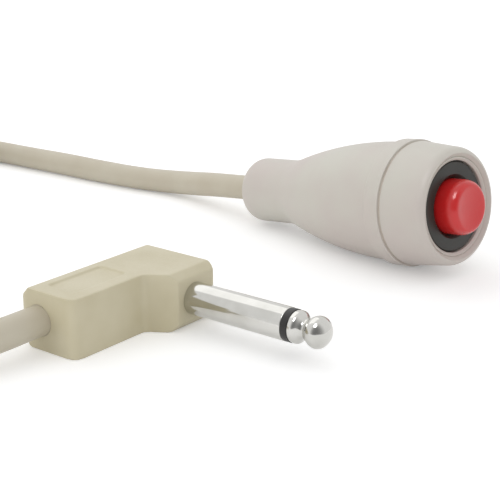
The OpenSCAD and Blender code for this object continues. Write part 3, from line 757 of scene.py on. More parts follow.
class Band:
    """Bends a flat strap along an outline with one Geometry Nodes tree."""

    WIDTH = 5 * MM
    THICKNESS = 0.8 * MM
    EDGE_RADIUS = 0.3 * MM
    EDGE_POINTS = 3

    def __init__(self) -> None:
        """Builds the tree: a rounded flat section follows the outline."""
        recipe = self.recipe = Recipe("bent strap", {
            "Width": ("NodeSocketFloat", self.WIDTH),
            "Thickness": ("NodeSocketFloat", self.THICKNESS),
            "Edge Radius": ("NodeSocketFloat", self.EDGE_RADIUS)})
        given = recipe.given
        line = recipe.add("GeometryNodeMeshToCurve", {"Mesh": given["Geometry"]})
        section = recipe.add("GeometryNodeCurvePrimitiveQuadrilateral", {
            "Width": given["Thickness"], "Height": given["Width"]})
        soft = recipe.add("GeometryNodeFilletCurve", {
            "Curve": section.outputs["Curve"], "Radius": given["Edge Radius"],
            "Count": self.EDGE_POINTS}, mode="POLY")
        skin = recipe.add("GeometryNodeCurveToMesh", {
            "Curve": line.outputs["Curve"], "Profile Curve": soft.outputs["Curve"],
            "Fill Caps": True})
        recipe.end(skin.outputs["Mesh"])

    def make(self, name: str, outline: Sequence[Corner], place: Matrix, finish: Finish,
             values: dict[str, object]) -> bpy.types.Object:
        """Bends one strap.

        Args:
            name: The piece's name.
            outline: The corners that the strap goes round, in its own XY plane.
            place: Where the piece goes.
            finish: The piece's finish.
            values: Values for the tree's inputs, by name.

        Returns:
            The piece.
        """
        points, _ = rounded(outline)
        mesh = points_mesh(name, [(p.along, p.out, 0) for p in points], closed=True)
        return settle(self.recipe.run(name, mesh, finish, values), place)


@dataclass(frozen=True)
class Workshop:
    """The tools that the makers share."""

    turned: Turned
    swept: Swept
    band: Band


@dataclass(frozen=True)
class Studio:
    """A plain white floor, soft light from all round and three square lamps.

    The window lamp stands behind the object and casts the soft shadow. The fill lamp in front
    brightens the near side, and no mirror shows it. The glint lamp shows in mirrors alone: it
    puts the small highlight on the button's edge.
    """

    lens: float = 90.0
    sensor: float = 36.0
    clip: tuple[float, float] = (0.01, 20.0)
    azimuth: float = 45.849
    elevation: float = 18.18
    distance: float = 309.473 * MM
    target: tuple[float, float, float] = (-34.14 * MM, 0.0, -8.59 * MM)
    floor_half: float = 3.0
    floor_sink: float = 0.02 * MM
    floor_tone: float = 0.92
    floor_lift: float = 0.24
    ambient: float = 0.86
    lamp_size: float = 0.5
    lamp_power: float = 0.42
    lamp_place: tuple[float, float, float] = (-0.34, 0.04, 0.44)
    fill_size: float = 0.2
    fill_power: float = 0.22
    fill_place: tuple[float, float, float] = (-0.08, -0.5, 0.1)
    glint_size: float = 0.2
    glint_power: float = 0.9
    glint_place: tuple[float, float, float] = (0.105, -0.256, 0.436)
    dim_side: tuple[float, float, float] = (0.66, -0.7, 0.28)
    dim_from: float = 0.35
    dim_strength: float = 0.25

    def aim(self, data: bpy.types.Camera | bpy.types.Light, place: Vector,
            back: Vector) -> bpy.types.Object:
        """Puts a camera or a lamp into the scene.

        Args:
            data: The camera or the lamp.
            place: Where it goes.
            back: The direction that it has its back to.

        Returns:
            Its object, which has the same name.
        """
        aimed = bpy.data.objects.new(data.name, data)
        aimed.location = place
        aimed.rotation_mode = "QUATERNION"
        aimed.rotation_quaternion = (-back).to_track_quat("-Z", "Y")
        bpy.context.scene.collection.objects.link(aimed)
        return aimed

    def camera(self) -> None:
        """Makes the camera at the photograph's place."""
        turn, lift = math.radians(self.azimuth), math.radians(self.elevation)
        back = Vector((math.sin(turn) * math.cos(lift), -math.cos(turn) * math.cos(lift),
                       math.sin(lift)))
        data = bpy.data.cameras.new("photo_camera")
        data.lens, data.sensor_width = self.lens, self.sensor
        data.clip_start, data.clip_end = self.clip
        bpy.context.scene.camera = self.aim(data, Vector(self.target) + back * self.distance,
                                            back)

    def seen(self, tree: bpy.types.NodeTree) -> bpy.types.NodeSocket:
        """Tells what is looked at, by eye or in a mirror, from what only gives light.

        Args:
            tree: The tree that needs to know.

        Returns:
            1 for rays from the camera or from a mirror-like or clear surface, and 0 for others.
        """
        path = add(tree, "ShaderNodeLightPath").outputs
        either = add(tree, "ShaderNodeMath", {0: path["Is Camera Ray"], 1: path["Is Glossy Ray"]},
                     operation="MAXIMUM").outputs[0]
        return add(tree, "ShaderNodeMath", {0: either, 1: path["Is Transmission Ray"]},
                   operation="MAXIMUM").outputs[0]

    def light(self) -> None:
        """Lights the object from all round, and with the three lamps."""
        world = bpy.context.scene.world = bpy.data.worlds.new("white studio")
        tree = blank_tree(world)
        dim = add(tree, "ShaderNodeBackground", {"Strength": self.ambient})
        white = add(tree, "ShaderNodeBackground", {"Strength": self.mirrored(tree)})
        dim.inputs["Color"].default_value = white.inputs["Color"].default_value = (1, 1, 1, 1)
        mix = add(tree, "ShaderNodeMixShader", {
            0: self.seen(tree), 1: dim.outputs["Background"], 2: white.outputs["Background"]})
        add(tree, "ShaderNodeOutputWorld", {"Surface": mix.outputs["Shader"]})
        self.lamp("window_lamp", self.lamp_place, self.lamp_size, self.lamp_power)
        fill = self.lamp("fill_lamp", self.fill_place, self.fill_size, self.fill_power)
        fill.visible_glossy = False
        glint = self.lamp("glint_lamp", self.glint_place, self.glint_size, self.glint_power)
        glint.visible_diffuse = False

    def mirrored(self, tree: bpy.types.NodeTree) -> bpy.types.NodeSocket:
        """Gives the white of the background, which is dimmer in mirrors on one side.

        Gloss and bright metal take their shape from that side, as in a studio with a dark end.

        Args:
            tree: The world's tree.

        Returns:
            The strength: 1 for the camera, and less for mirrored rays towards the dim side.
        """
        way = add(tree, "ShaderNodeTexCoord").outputs["Generated"]
        towards = add(tree, "ShaderNodeVectorMath", {
            0: way, 1: Vector(self.dim_side).normalized()}, operation="DOT_PRODUCT")
        share = add(tree, "ShaderNodeMapRange", {
            "Value": towards.outputs["Value"], "From Min": self.dim_from, "From Max": 1.0,
            "To Min": 0.0, "To Max": 1.0 - self.dim_strength}, interpolation_type="SMOOTHSTEP")
        mirror = add(tree, "ShaderNodeLightPath").outputs["Is Glossy Ray"]
        lost = add(tree, "ShaderNodeMath", {0: share.outputs["Result"], 1: mirror},
                   operation="MULTIPLY").outputs[0]
        return add(tree, "ShaderNodeMath", {0: 1.0, 1: lost}, operation="SUBTRACT").outputs[0]

    def lamp(self, name: str, place: tuple[float, float, float], size: float,
             power: float) -> bpy.types.Object:
        """Hangs one square lamp that faces the origin.

        Args:
            name: Its name.
            place: Where it hangs.
            size: The length of its side.
            power: Its power in watts.

        Returns:
            The lamp's object.
        """
        data = bpy.data.lights.new(name, "AREA")
        data.energy, data.size = power, size
        return self.aim(data, Vector(place), Vector(place))

    def floor(self) -> None:
        """Lays the floor, which keeps the object's shadow."""
        made = bpy.data.materials.new("matt white floor")
        tree = blank_tree(made)
        matt = add(tree, "ShaderNodeBsdfDiffuse", {"Color": (*[self.floor_tone] * 3, 1)})
        lift = add(tree, "ShaderNodeEmission", {"Strength": add(tree, "ShaderNodeMath", {
            0: self.seen(tree), 1: self.floor_lift}, operation="MULTIPLY").outputs[0]})
        both = add(tree, "ShaderNodeAddShader", {
            0: matt.outputs["BSDF"], 1: lift.outputs["Emission"]})
        add(tree, "ShaderNodeOutputMaterial", {"Surface": both.outputs["Shader"]})
        half = self.floor_half
        mesh = bpy.data.meshes.new("studio_floor")
        mesh.from_pydata([(-half, -half, 0), (half, -half, 0), (half, half, 0),
                          (-half, half, 0)], [], [(0, 1, 2, 3)])
        mesh.materials.append(made)
        floor = new_piece("studio_floor", mesh)
        floor.location.z = -self.floor_sink

    def build(self) -> None:
        """Makes the camera, the light and the floor."""
        bpy.context.scene.view_settings.view_transform = "Standard"
        self.camera()
        self.light()
        self.floor()


@dataclass(frozen=True)
class Axis:
    """A line that turned pieces lie on: where it starts, its direction and a side."""

    start: Vector
    direction: Vector
    side: Vector

    @property
    def matrix(self) -> Matrix:
        """The place of a piece whose own +Z is the line and whose own +Y is the side."""
        return placing(self.side.cross(self.direction), self.side, self.direction, self.start)

    def at(self, station: float) -> Vector:
        """Gives the point of the line at a station."""
        return self.start + self.direction * station


def handset_axis(frame: dict, cord_r: float) -> Axis:
    """Finds the handset's axis: its direction from the joint, its start from the cord's end.

    Args:
        frame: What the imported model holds.
        cord_r: Radius of the cord.

    Returns:
        The axis, which starts where the cord leaves the neck.
    """
    joint = next(j for j in frame["joints"] if j["name"] == Handset.JOINT)
    direction = -Vector(joint["axis"]).normalized()
    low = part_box("jacket_end")[0]
    start = Vector((low.x + cord_r * direction.z, 0, low.z + cord_r * direction.x))
    return Axis(start, direction, Vector((0, 1, 0)))


@dataclass(frozen=True)
class Lead:
    """The cord: from the neck over the table, in a coil of two layers, and on to the plug."""

    handset: Axis
    plug_exit: Axis
    shop: Workshop
    diameter: float = 6 * MM
    length: float = 1.8
    sides: int = 24
    spacing: float = 2.6 * MM
    ridge: float = 0.04 * MM
    coil_place: tuple[float, float] = (-0.153, -0.0665)
    coil_radius: float = 44 * MM
    pitch: float = 6.6 * MM
    turns: int = 7
    in_angle: float = 101.0
    out_angle: float = 270.0
    layers: tuple[float, float] = (3.9 * MM, 10.4 * MM)
    climb_sweep: float = 180.0
    points_a_turn: int = 48
    tie_angles: tuple[float, float] = (10.0, 190.0)
    tie_width: float = 5 * MM
    tie_thickness: float = 0.8 * MM
    tie_clear: float = 0.6 * MM
    stop_gap: float = 0.1 * MM

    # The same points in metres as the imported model's: down to the table and on to the coil
    LEAD_ROUTE = (
        (-0.0495, 0.0003, 0.0052), (-0.0555, 0.0006, 0.0042), (-0.0615, 0.0, 0.0035),
        (-0.0675, -0.0014, 0.0031), (-0.0735, -0.0032, 0.003), (-0.0855, -0.006, 0.003),
        (-0.0985, -0.0082, 0.003), (-0.1095, -0.0104, 0.003), (-0.1205, -0.0126, 0.003),
        (-0.132, -0.0154, 0.0031), (-0.143, -0.0186, 0.0035))
    # Off the coil, down to the table and round to the plug
    TAIL_ROUTE = (
        (-0.139, -0.1106, 0.0103), (-0.131, -0.1109, 0.0092), (-0.12, -0.1113, 0.007),
        (-0.108, -0.1118, 0.005), (-0.096, -0.1123, 0.0037), (-0.084, -0.1129, 0.0031),
        (-0.072, -0.1136, 0.003), (-0.058, -0.115, 0.003), (-0.044, -0.1168, 0.003),
        (-0.03, -0.1183, 0.003), (-0.017, -0.118, 0.003), (-0.0075, -0.114, 0.0033),
        (-0.0015, -0.107, 0.0041))

    @property
    def sweep(self) -> float:
        """How far the coil turns from end to end, in degrees."""
        return 360 * self.turns + self.out_angle - self.in_angle

    def turn_radius(self, angle: float) -> float:
        """Gives the coil's radius at an angle from where the cord joins it."""
        return self.coil_radius - self.pitch * min(angle, self.sweep - angle) / 360

    def coil_point(self, angle: float) -> Vector:
        """Finds a point of the coil, which climbs to its upper layer at its innermost turn.

        Args:
            angle: How far round the coil it is, in degrees from where the cord joins it.

        Returns:
            The point.
        """
        past = angle - self.sweep / 2 + self.climb_sweep / 2
        climb = min(1.0, max(0.0, past / self.climb_sweep))
        height = self.layers[0] + (self.layers[1] - self.layers[0]) * (
            1 - math.cos(math.pi * climb)) / 2
        heading = math.radians(self.in_angle + angle)
        radius = self.turn_radius(angle)
        return Vector((self.coil_place[0] + radius * math.cos(heading),
                       self.coil_place[1] + radius * math.sin(heading), height))

    def coil_heading(self, angle: float) -> Vector:
        """Gives the direction of the coil's turns at an angle round its middle."""
        turn = math.radians(angle)
        return Vector((-math.sin(turn), math.cos(turn), 0))

    def path(self) -> list[Vector]:
        """Works out the line that the whole cord follows.

        The points that join the coil and both ends to the routes lie a few radii of the cord
        apart.

        Returns:
            The line's points, from the neck to the plug.
        """
        d, neck, plug = self.diameter, self.handset, self.plug_exit
        steps = round(self.sweep / 360 * self.points_a_turn)
        turns = [self.coil_point(self.sweep * i / steps) for i in range(steps + 1)]
        joins, leaves = self.coil_heading(self.in_angle), self.coil_heading(self.out_angle)
        points = [neck.at(0), neck.at(-d), neck.at(-2 * d), *map(Vector, self.LEAD_ROUTE),
                  turns[0] - 2 * d * joins, turns[0] - d * joins, *turns,
                  turns[-1] + d * leaves, turns[-1] + 1.5 * d * leaves,
                  *map(Vector, self.TAIL_ROUTE), plug.at(1.5 * d), plug.at(0.5 * d),
                  plug.at(0)]
        return smooth_line(points, self.spacing)

    def tie(self, number: int, angle: float) -> bpy.types.Object:
        """Bends one strap round the coil's turns.

        Args:
            number: The strap's number, from 1.
            angle: Where it is round the coil, in degrees.

        Returns:
            The strap.
        """
        cord_r, half = self.diameter / 2, self.tie_thickness / 2
        first = (angle - self.in_angle) % 360
        radii = [self.turn_radius(first + 360 * i)
                 for i in range(int((self.sweep - first) // 360) + 1)]
        inner = min(radii) - cord_r - self.tie_clear - half
        outer = max(radii) + cord_r + self.stop_gap + half
        top = self.layers[1] + cord_r + self.stop_gap + half
        bend = cord_r + self.tie_thickness
        turn = math.radians(angle)
        out = Vector((math.cos(turn), math.sin(turn), 0))
        place = placing(out, UP, out.cross(UP), Vector((*self.coil_place, 0)))
        corners = [Corner(inner, half, bend), Corner(outer, half, bend),
                   Corner(outer, top, bend), Corner(inner, top, bend)]
        return self.shop.band.make(f"coil_strap_{number}", corners, place, Finishes.STRAP, {
            "Width": self.tie_width, "Thickness": self.tie_thickness})

    def build(self) -> tuple[bpy.types.Object, list[Vector], list[bpy.types.Object]]:
        """Builds the cord and its straps.

        Returns:
            The cord, the line that it follows and the straps.
        """
        line = self.path()
        cord = self.shop.swept.make("cord", line, Finishes.CORD, {
            "Radius": self.diameter / 2, "Sides": self.sides, "Ridge Height": self.ridge})
        enlist(cord, "cord_pvc", "cord_lead", "cord_coil", "cord_tail")
        straps = [self.tie(i + 1, angle) for i, angle in enumerate(self.tie_angles)]
        for strap in straps:
            enlist(strap, "tie_nylon", "coil_ties")
        return cord, line, straps


@dataclass(frozen=True)
class Handset:
    """The housing and its front cap, both turned about the handset's axis."""

    axis: Axis
    shop: Workshop
    exit_r: float = 3.15 * MM
    exit_lip_t: float = 1.6 * MM
    neck_d: float = 15 * MM
    neck_round_l: float = 3.5 * MM
    neck_l: float = 14.5 * MM
    waist_d: float = 14.9 * MM
    crease: float = 2 * MM
    bell_l: float = 34.7 * MM
    bell_d: float = 25.9 * MM
    lip_d: float = 27.3 * MM
    lip_rise: float = 0.7 * MM
    lip_w: float = 3.6 * MM
    lip_start: float = 0.7 * MM
    lip_l: float = 0.9 * MM
    wall: float = 2 * MM
    pocket_r: float = 4.76 * MM
    anchor_r: float = 5.29 * MM
    anchor_l: float = 0.8 * MM
    spigot_l: float = 5.5 * MM
    spigot_r: float = 11.55 * MM
    spigot_hole_r: float = 10.25 * MM
    seal_t: float = 0.5 * MM
    seal_r: float = 13.2 * MM
    cap_l: float = 10.8 * MM
    cap_d: float = 26.6 * MM
    cap_front_d: float = 25 * MM
    rim_round_l: float = 2 * MM
    rim_d: float = 22.4 * MM
    ledge_depth: float = 0.55 * MM
    ledge_drop: float = 0.45 * MM
    groove_r: float = 10.42 * MM
    groove_w: float = 0.34 * MM
    groove_depth: float = 0.3 * MM
    recess_r: float = 9.68 * MM
    web_front: float = 56.8 * MM
    web_back: float = 54.6 * MM
    barrel_hole_r: float = 7.1 * MM
    seat: float = 0.03 * MM
    soft: float = 0.14 * MM

    JOINT = "button_press"
    BELL_STEPS = 26
    CREASE_STEPS = 5
    LIP_STEPS = 8
    HOLLOW_STEPS = 8
    END_STEPS = 10

    @property
    def mouth(self) -> float:
        """Station of the housing's mouth."""
        return self.neck_l + self.bell_l

    @property
    def lip(self) -> float:
        """Station where the raised lip starts."""
        return self.mouth - self.lip_w

    @property
    def front(self) -> float:
        """Station of the cap's rim."""
        return self.mouth + self.cap_l

    @property
    def curve_l(self) -> float:
        """Length of the bell's curve, from the neck to the lip."""
        return self.lip - self.lip_rise - self.neck_l

    def bell_r(self, past: float) -> float:
        """Gives the bell's radius on a parabola that eases out of the neck.

        Args:
            past: Distance past the end of the neck, which may be negative within the crease.

        Returns:
            The radius there.
        """
        swell = (self.bell_d - self.waist_d) / 2
        ahead = max(0.0, past)
        eased = (past + self.crease) ** 2 / (4 * self.crease) if abs(past) < self.crease else ahead
        return self.waist_d / 2 + swell * (2 * eased / self.curve_l - (ahead / self.curve_l) ** 2)

    def housing(self) -> bpy.types.Object:
        """Turns the housing: a domed neck end, the neck, the bell and its lip.

        Returns:
            The housing, hollow as the model's is.
        """
        neck_r, lip_r = self.neck_d / 2, self.lip_d / 2
        mouth_r = lip_r - self.wall
        dome = arc(Corner(self.neck_round_l, self.exit_r),
                   (-self.neck_round_l, neck_r - self.exit_r), 0, 90, self.END_STEPS)
        eased = [i * self.crease / self.CREASE_STEPS
                 for i in range(-self.CREASE_STEPS, self.CREASE_STEPS)]
        swelling = [self.crease + (self.curve_l - self.crease) * i / self.BELL_STEPS
                    for i in range(self.BELL_STEPS - 1)]
        bell = [Corner(self.neck_l + past, self.bell_r(past)) for past in eased + swelling]
        rise = [Corner(self.lip - self.lip_start + self.lip_l * share,
                       self.bell_d / 2 + (lip_r - self.bell_d / 2)
                       * (1 - math.cos(math.pi * share)) / 2)
                for share in (i / self.LIP_STEPS for i in range(self.LIP_STEPS + 1))]
        hollow_l = self.lip - self.spigot_l - self.neck_l
        hollow = [Corner(self.neck_l + self.anchor_l + hollow_l * share,
                         min(self.bell_r(self.curve_l * share) - self.wall, mouth_r))
                  for share in (i / (self.HOLLOW_STEPS + 1)
                                for i in range(self.HOLLOW_STEPS, 0, -1))]
        corners = [
            Corner(self.exit_lip_t, self.exit_r), *dome, *bell, *rise,
            Corner(self.mouth, lip_r, self.soft), Corner(self.mouth, mouth_r),
            Corner(self.lip - self.spigot_l, mouth_r), *hollow,
            Corner(self.neck_l + self.anchor_l, self.anchor_r),
            Corner(self.neck_l, self.anchor_r), Corner(self.neck_l, self.pocket_r),
            Corner(self.exit_lip_t, self.pocket_r)]
        return self.shop.turned.make("housing_shell", corners, self.axis.matrix,
                                     Finishes.SHELL)

    def cap(self) -> bpy.types.Object:
        """Turns the front cap: a rounded edge, a slope to a fine groove and a sunk ledge.

        Returns:
            The cap with its spigot and its web.
        """
        seam = self.mouth + self.seal_t
        edge = arc(Corner(self.front - self.rim_round_l, self.rim_d / 2),
                   (self.rim_round_l, (self.cap_front_d - self.rim_d) / 2), 90, 0,
                   self.END_STEPS)
        ledge, half = self.front - self.ledge_depth, self.groove_w / 2
        corners = [
            Corner(self.mouth - self.spigot_l, self.spigot_hole_r),
            Corner(self.mouth - self.spigot_l, self.spigot_r), Corner(seam, self.spigot_r),
            Corner(seam, self.cap_d / 2, self.soft), *edge,
            Corner(ledge, self.groove_r + half, self.soft),
            Corner(ledge - self.groove_depth, self.groove_r),
            Corner(ledge, self.groove_r - half, self.soft),
            Corner(ledge - self.ledge_drop, self.recess_r, self.soft),
            Corner(self.web_front, self.recess_r), Corner(self.web_front, self.barrel_hole_r),
            Corner(self.web_back, self.barrel_hole_r),
            Corner(self.web_back, self.spigot_hole_r)]
        return self.shop.turned.make("front_cap_shell", corners, self.axis.matrix,
                                     Finishes.SHELL)

    def seal(self) -> bpy.types.Object:
        """Turns the seal, which shows as a shallow line in the seam.

        Returns:
            The seal.
        """
        seam, inner = self.mouth + self.seal_t, self.spigot_r + self.seat
        corners = [Corner(self.mouth, inner), Corner(seam, inner),
                   Corner(seam, self.seal_r), Corner(self.mouth, self.seal_r)]
        return self.shop.turned.make("seam_seal", corners, self.axis.matrix, Finishes.SEAL)

    def build(self) -> None:
        """Builds the housing, the cap and the seal between them."""
        enlist(self.housing(), "abs_shell", "bell_housing")
        enlist(self.cap(), "abs_shell", "front_cap")
        enlist(self.seal(), "seal_rubber", "cap_seal")


@dataclass(frozen=True)
class PushSwitch:
    """The black flanged barrel, the red button and the return spring."""

    axis: Axis
    shop: Workshop
    flange_r: float = 9.42 * MM
    flange_t: float = 1.4 * MM
    flange_edge: float = 0.45 * MM
    face: float = 58.8 * MM
    barrel_r: float = 7 * MM
    barrel_back: float = 39.55 * MM
    chamber_r: float = 6 * MM
    bore_r: float = 5.93 * MM
    mouth_r: float = 6.8 * MM
    mouth_depth: float = 0.85 * MM
    bore_back: float = 50 * MM
    guide_back: float = 47 * MM
    stem_hole_r: float = 2.06 * MM
    button_r: float = 5.85 * MM
    button_hole_r: float = 4.85 * MM
    button_top: float = 63.2 * MM
    button_under: float = 61.7 * MM
    skirt: float = 52.1 * MM
    edge_w: float = 1.35 * MM
    edge_l: float = 2.45 * MM
    dish_depth: float = 0.45 * MM
    dish_r: float = 4.45 * MM
    socket: float = 61.2 * MM
    stem_r: float = 2.03 * MM
    boss: float = 55.85 * MM
    boss_r: float = 2.83 * MM
    spring_r: float = 3.84 * MM
    spring_wire: float = 0.6 * MM
    spring_turns: float = 6.0
    spring_sides: int = 10
    travel: float = 2 * MM
    seat: float = 0.03 * MM

    EDGE_STEPS = 12
    DISH_STEPS = 6
    SPRING_STEPS = 24
    # Pitch of the spring's end turns in wires: just over 1, so that they don't touch
    END_PITCH = 1.05

    def barrel(self) -> bpy.types.Object:
        """Turns the flange, with its rounded edge and wide mouth, and the barrel behind it.

        Returns:
            The flange and the barrel as one piece.
        """
        back = self.face - self.flange_t
        corners = [
            Corner(self.barrel_back, self.chamber_r), Corner(self.barrel_back, self.barrel_r),
            Corner(back, self.barrel_r), Corner(back, self.flange_r),
            Corner(self.face, self.flange_r, self.flange_edge),
            Corner(self.face, self.mouth_r, self.flange_edge / 3),
            Corner(self.face - self.mouth_depth, self.bore_r),
            Corner(self.bore_back, self.bore_r), Corner(self.bore_back, self.stem_hole_r),
            Corner(self.guide_back, self.stem_hole_r), Corner(self.guide_back, self.chamber_r)]
        return self.shop.turned.make("switch_flange", corners, self.axis.matrix,
                                     Finishes.NYLON)

    def button(self) -> bpy.types.Object:
        """Turns the button: a rounded front edge round a shallow dish, and a boss inside.

        Returns:
            The button.
        """
        edge = arc(Corner(self.button_top - self.edge_l, self.button_r - self.edge_w),
                   (self.edge_l, self.edge_w), 90, 0, self.EDGE_STEPS)
        dish = [Corner(self.button_top - self.dish_depth * (1 - share ** 2),
                       self.dish_r * share)
                for share in (i / self.DISH_STEPS for i in range(self.DISH_STEPS, -1, -1))]
        corners = [
            Corner(self.skirt, self.button_hole_r), Corner(self.skirt, self.button_r), *edge,
            *dish, Corner(self.socket, 0), Corner(self.socket, self.stem_r),
            Corner(self.boss, self.stem_r), Corner(self.boss, self.boss_r),
            Corner(self.button_under, self.boss_r),
            Corner(self.button_under, self.button_hole_r)]
        return self.shop.turned.make("push_button", corners, self.axis.matrix,
                                     Finishes.BUTTON)

    def spring(self) -> bpy.types.Object:
        """Winds the return spring, with a flat turn at each end.

        Returns:
            The spring.
        """
        low = self.bore_back + self.spring_wire / 2 + self.seat
        high = self.button_under - self.spring_wire / 2 - self.seat
        lift = self.spring_wire * self.END_PITCH
        line: list[Vector] = []
        for start, end, turns in ((low, low + lift, 1),
                                  (low + lift, high - lift, self.spring_turns - 2),
                                  (high - lift, high, 1)):
            wound = helix(self.spring_r, start, end, turns, self.SPRING_STEPS)
            line += wound[1:] if line else wound
        return self.shop.swept.make("coil_spring", line, Finishes.SPRING, {
            "Radius": self.spring_wire / 2, "Sides": self.spring_sides}, self.axis.matrix)

    def build(self) -> None:
        """Builds the barrel, the button and the spring."""
        enlist(self.barrel(), "black_nylon", "switch_bushing")
        enlist(self.button(), "red_button", "button", body="button")
        spring = self.spring()
        enlist(spring, "spring_steel", "return_spring")
        self.axis.at(self.bore_back)
        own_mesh(spring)


@dataclass(frozen=True)
class JackPlug:
    """The right-angle plug: a soft cream moulding, and the pin with its ring and tip."""

    pin_mount: dict
    shop: Workshop
    pin_r: float = 3.175 * MM
    sleeve_l: float = 22.2 * MM
    ring_w: float = 1.4 * MM
    tip_l: float = 7.4 * MM
    depth: float = 14 * MM
    length: float = 32 * MM
    thickness: float = 11.5 * MM
    head_reach: float = 5.5 * MM
    head_h: float = 10.4 * MM
    bevel: float = 2.4 * MM
    head_bevel: float = 1.4 * MM
    label_l: float = 13.6 * MM
    label_w: float = 6.8 * MM
    label_depth: float = 0.4 * MM
    label_round: float = 0.9 * MM
    cord_r: float = 3.03 * MM
    cord_in: float = 10.88 * MM
    seat: float = 0.03 * MM
    soft: float = 0.35 * MM
    voxel: float = 0.2 * MM
    core_wall: float = 0.72 * MM
    flange_r: float = 3.81 * MM
    flange_t: float = 1.27 * MM
    root_r: float = 2.79 * MM
    hole_r: float = 1.905 * MM
    rod_r: float = 1.25 * MM
    lug_t: float = 0.51 * MM
    rear_washer_t: float = 1.14 * MM
    pin_soft: float = 0.12 * MM
    ring_sink: float = 0.06 * MM
    # How far down the head the pin is, how far into the body the cord is, and how much of the
    # head's reach the slope below it is high
    pin_share: float = 0.56
    cord_share: float = 0.36
    slope_share: float = 0.65

    CORNERS_IN_DEPTH = 7
    DRILL_SEGMENTS = 48
    SMOOTH_FACTOR = 0.5
    SMOOTH_ROUNDS = 6
    TIP_STEPS = 30
    # The tip's profile: how far along the tip, and how far out in radii of the pin
    TIP_SHARES = ((0, 0.94), (0.1, 0.97), (0.17, 0.93), (0.3, 0.64), (0.38, 0.62), (0.5, 0.82),
                  (0.6, 0.92), (0.7, 0.94), (0.8, 0.86), (0.9, 0.64), (0.97, 0.36), (1, 0))

    @property
    def shoulder(self) -> float:
        """Where the pin leaves the head, along the pin."""
        return self.depth + self.head_reach

    @property
    def place(self) -> Matrix:
        """The plug's own frame: +X along the pin, +Y to its head, on the table.

        Returns:
            The place, from the model's mount on the pin.
        """
        along = Vector(self.pin_mount["axis"]).normalized()
        across = UP.cross(along)
        middle = self.shoulder + (self.sleeve_l + self.ring_w) / 2
        start = Vector(self.pin_mount["pos_m"]) - along * middle - across * self.pin_y
        return placing(along, across, UP, Vector((start.x, start.y, 0)))

    @property
    def pin_y(self) -> float:
        """The pin's height on the head, from the head's end."""
        return -self.head_h * self.pin_share

    @property
    def ring(self) -> float:
        """Where the black ring starts, along the pin."""
        return self.shoulder + self.sleeve_l

    @property
    def flange(self) -> float:
        """Where the flange that anchors the sleeve in the core starts, along the pin."""
        return self.depth - 3 * self.core_wall - self.flange_t - self.seat

    @property
    def sleeve_back(self) -> float:
        """Where the sleeve starts behind its lug, along the pin."""
        return self.flange - 3 * self.lug_t

    @property
    def pin_axis(self) -> Axis:
        """The pin's axis, which starts at the plug's back."""
        place = self.place
        return Axis(place @ Vector((0, self.pin_y, self.thickness / 2)), place.col[0].xyz,
                    place.col[1].xyz)

    @property
    def corner_r(self) -> float:
        """Radius of the body's corners, seen from its label side."""
        return self.depth / self.CORNERS_IN_DEPTH

    @property
    def cord_hole(self) -> Vector:
        """The middle of the hole for the cord, in the plug's own frame."""
        return Vector((self.cord_share * self.depth, -self.length, self.thickness / 2))

    @property
    def cord_exit(self) -> Axis:
        """Where the cord leaves the plug, and in which direction."""
        place = self.place
        return Axis(place @ self.cord_hole, -place.col[1].xyz, place.col[0].xyz)

    def side_outline(self) -> list[Corner]:
        """Draws the plug seen from its label side.

        Returns:
            The outline's corners.
        """
        corner = self.corner_r
        neck_y = -self.head_h - self.head_reach * self.slope_share
        return [Corner(0, 0, corner), Corner(0, -self.length, corner),
                Corner(self.depth, -self.length, corner),
                Corner(self.depth, neck_y, corner), Corner(self.shoulder, -self.head_h, self.soft),
                Corner(self.shoulder, 0, self.soft)]

    def section_outline(self) -> list[Corner]:
        """Draws the plug's section across its thickness.

        Returns:
            The outline's corners.
        """
        front, top = self.shoulder, self.thickness
        bevel, small = self.bevel, self.head_bevel
        return [Corner(0, bevel, self.soft), Corner(bevel, 0, self.soft),
                Corner(front - small, 0, self.soft), Corner(front, small, self.soft),
                Corner(front, top - small, self.soft), Corner(front - small, top, self.soft),
                Corner(bevel, top, self.soft), Corner(0, top - bevel, self.soft)]

    def prism(self, outline: Sequence[Corner], low: float, high: float) -> bpy.types.Object:
        """Makes a prism along +Z.

        Args:
            outline: Its outline in X and Y.
            low: Its lower end.
            high: Its upper end.

        Returns:
            The prism.
        """
        points, _ = rounded(outline)
        shape = bmesh.new()
        ring = [shape.verts.new((p.along, p.out, low)) for p in points]
        face = shape.faces.new(ring)
        grown = bmesh.ops.extrude_face_region(shape, geom=[face])["geom"]
        bmesh.ops.translate(shape, vec=(0, 0, high - low),
                            verts=[v for v in grown if isinstance(v, bmesh.types.BMVert)])
        bmesh.ops.recalc_face_normals(shape, faces=shape.faces)
        mesh = bpy.data.meshes.new("prism")
        shape.to_mesh(mesh)
        shape.free()
        return new_piece("prism", mesh)

    def cut(self, piece: bpy.types.Object, tool: bpy.types.Object, how: str) -> None:
        """Cuts a piece with a tool, which is used up.

        Args:
            piece: The piece.
            tool: What cuts it.
            how: The boolean operation, as Blender names it.
        """
        modifier = piece.modifiers.new("cut", "BOOLEAN")
        modifier.operation, modifier.object, modifier.solver = how, tool, "EXACT"
        apply_modifiers(piece)
        bpy.data.objects.remove(tool)

    def box(self, low: Sequence[float], high: Sequence[float],
            rounding: float = 0.0) -> bpy.types.Object:
        """Makes a block, to cut with.

        Args:
            low: Its lowest corner.
            high: Its highest corner.
            rounding: Radius of its upright edges.

        Returns:
            The block.
        """
        outline = [Corner(x, y, rounding) for x, y in (
            (low[0], low[1]), (high[0], low[1]), (high[0], high[1]), (low[0], high[1]))]
        return self.prism(outline, low[2], high[2])

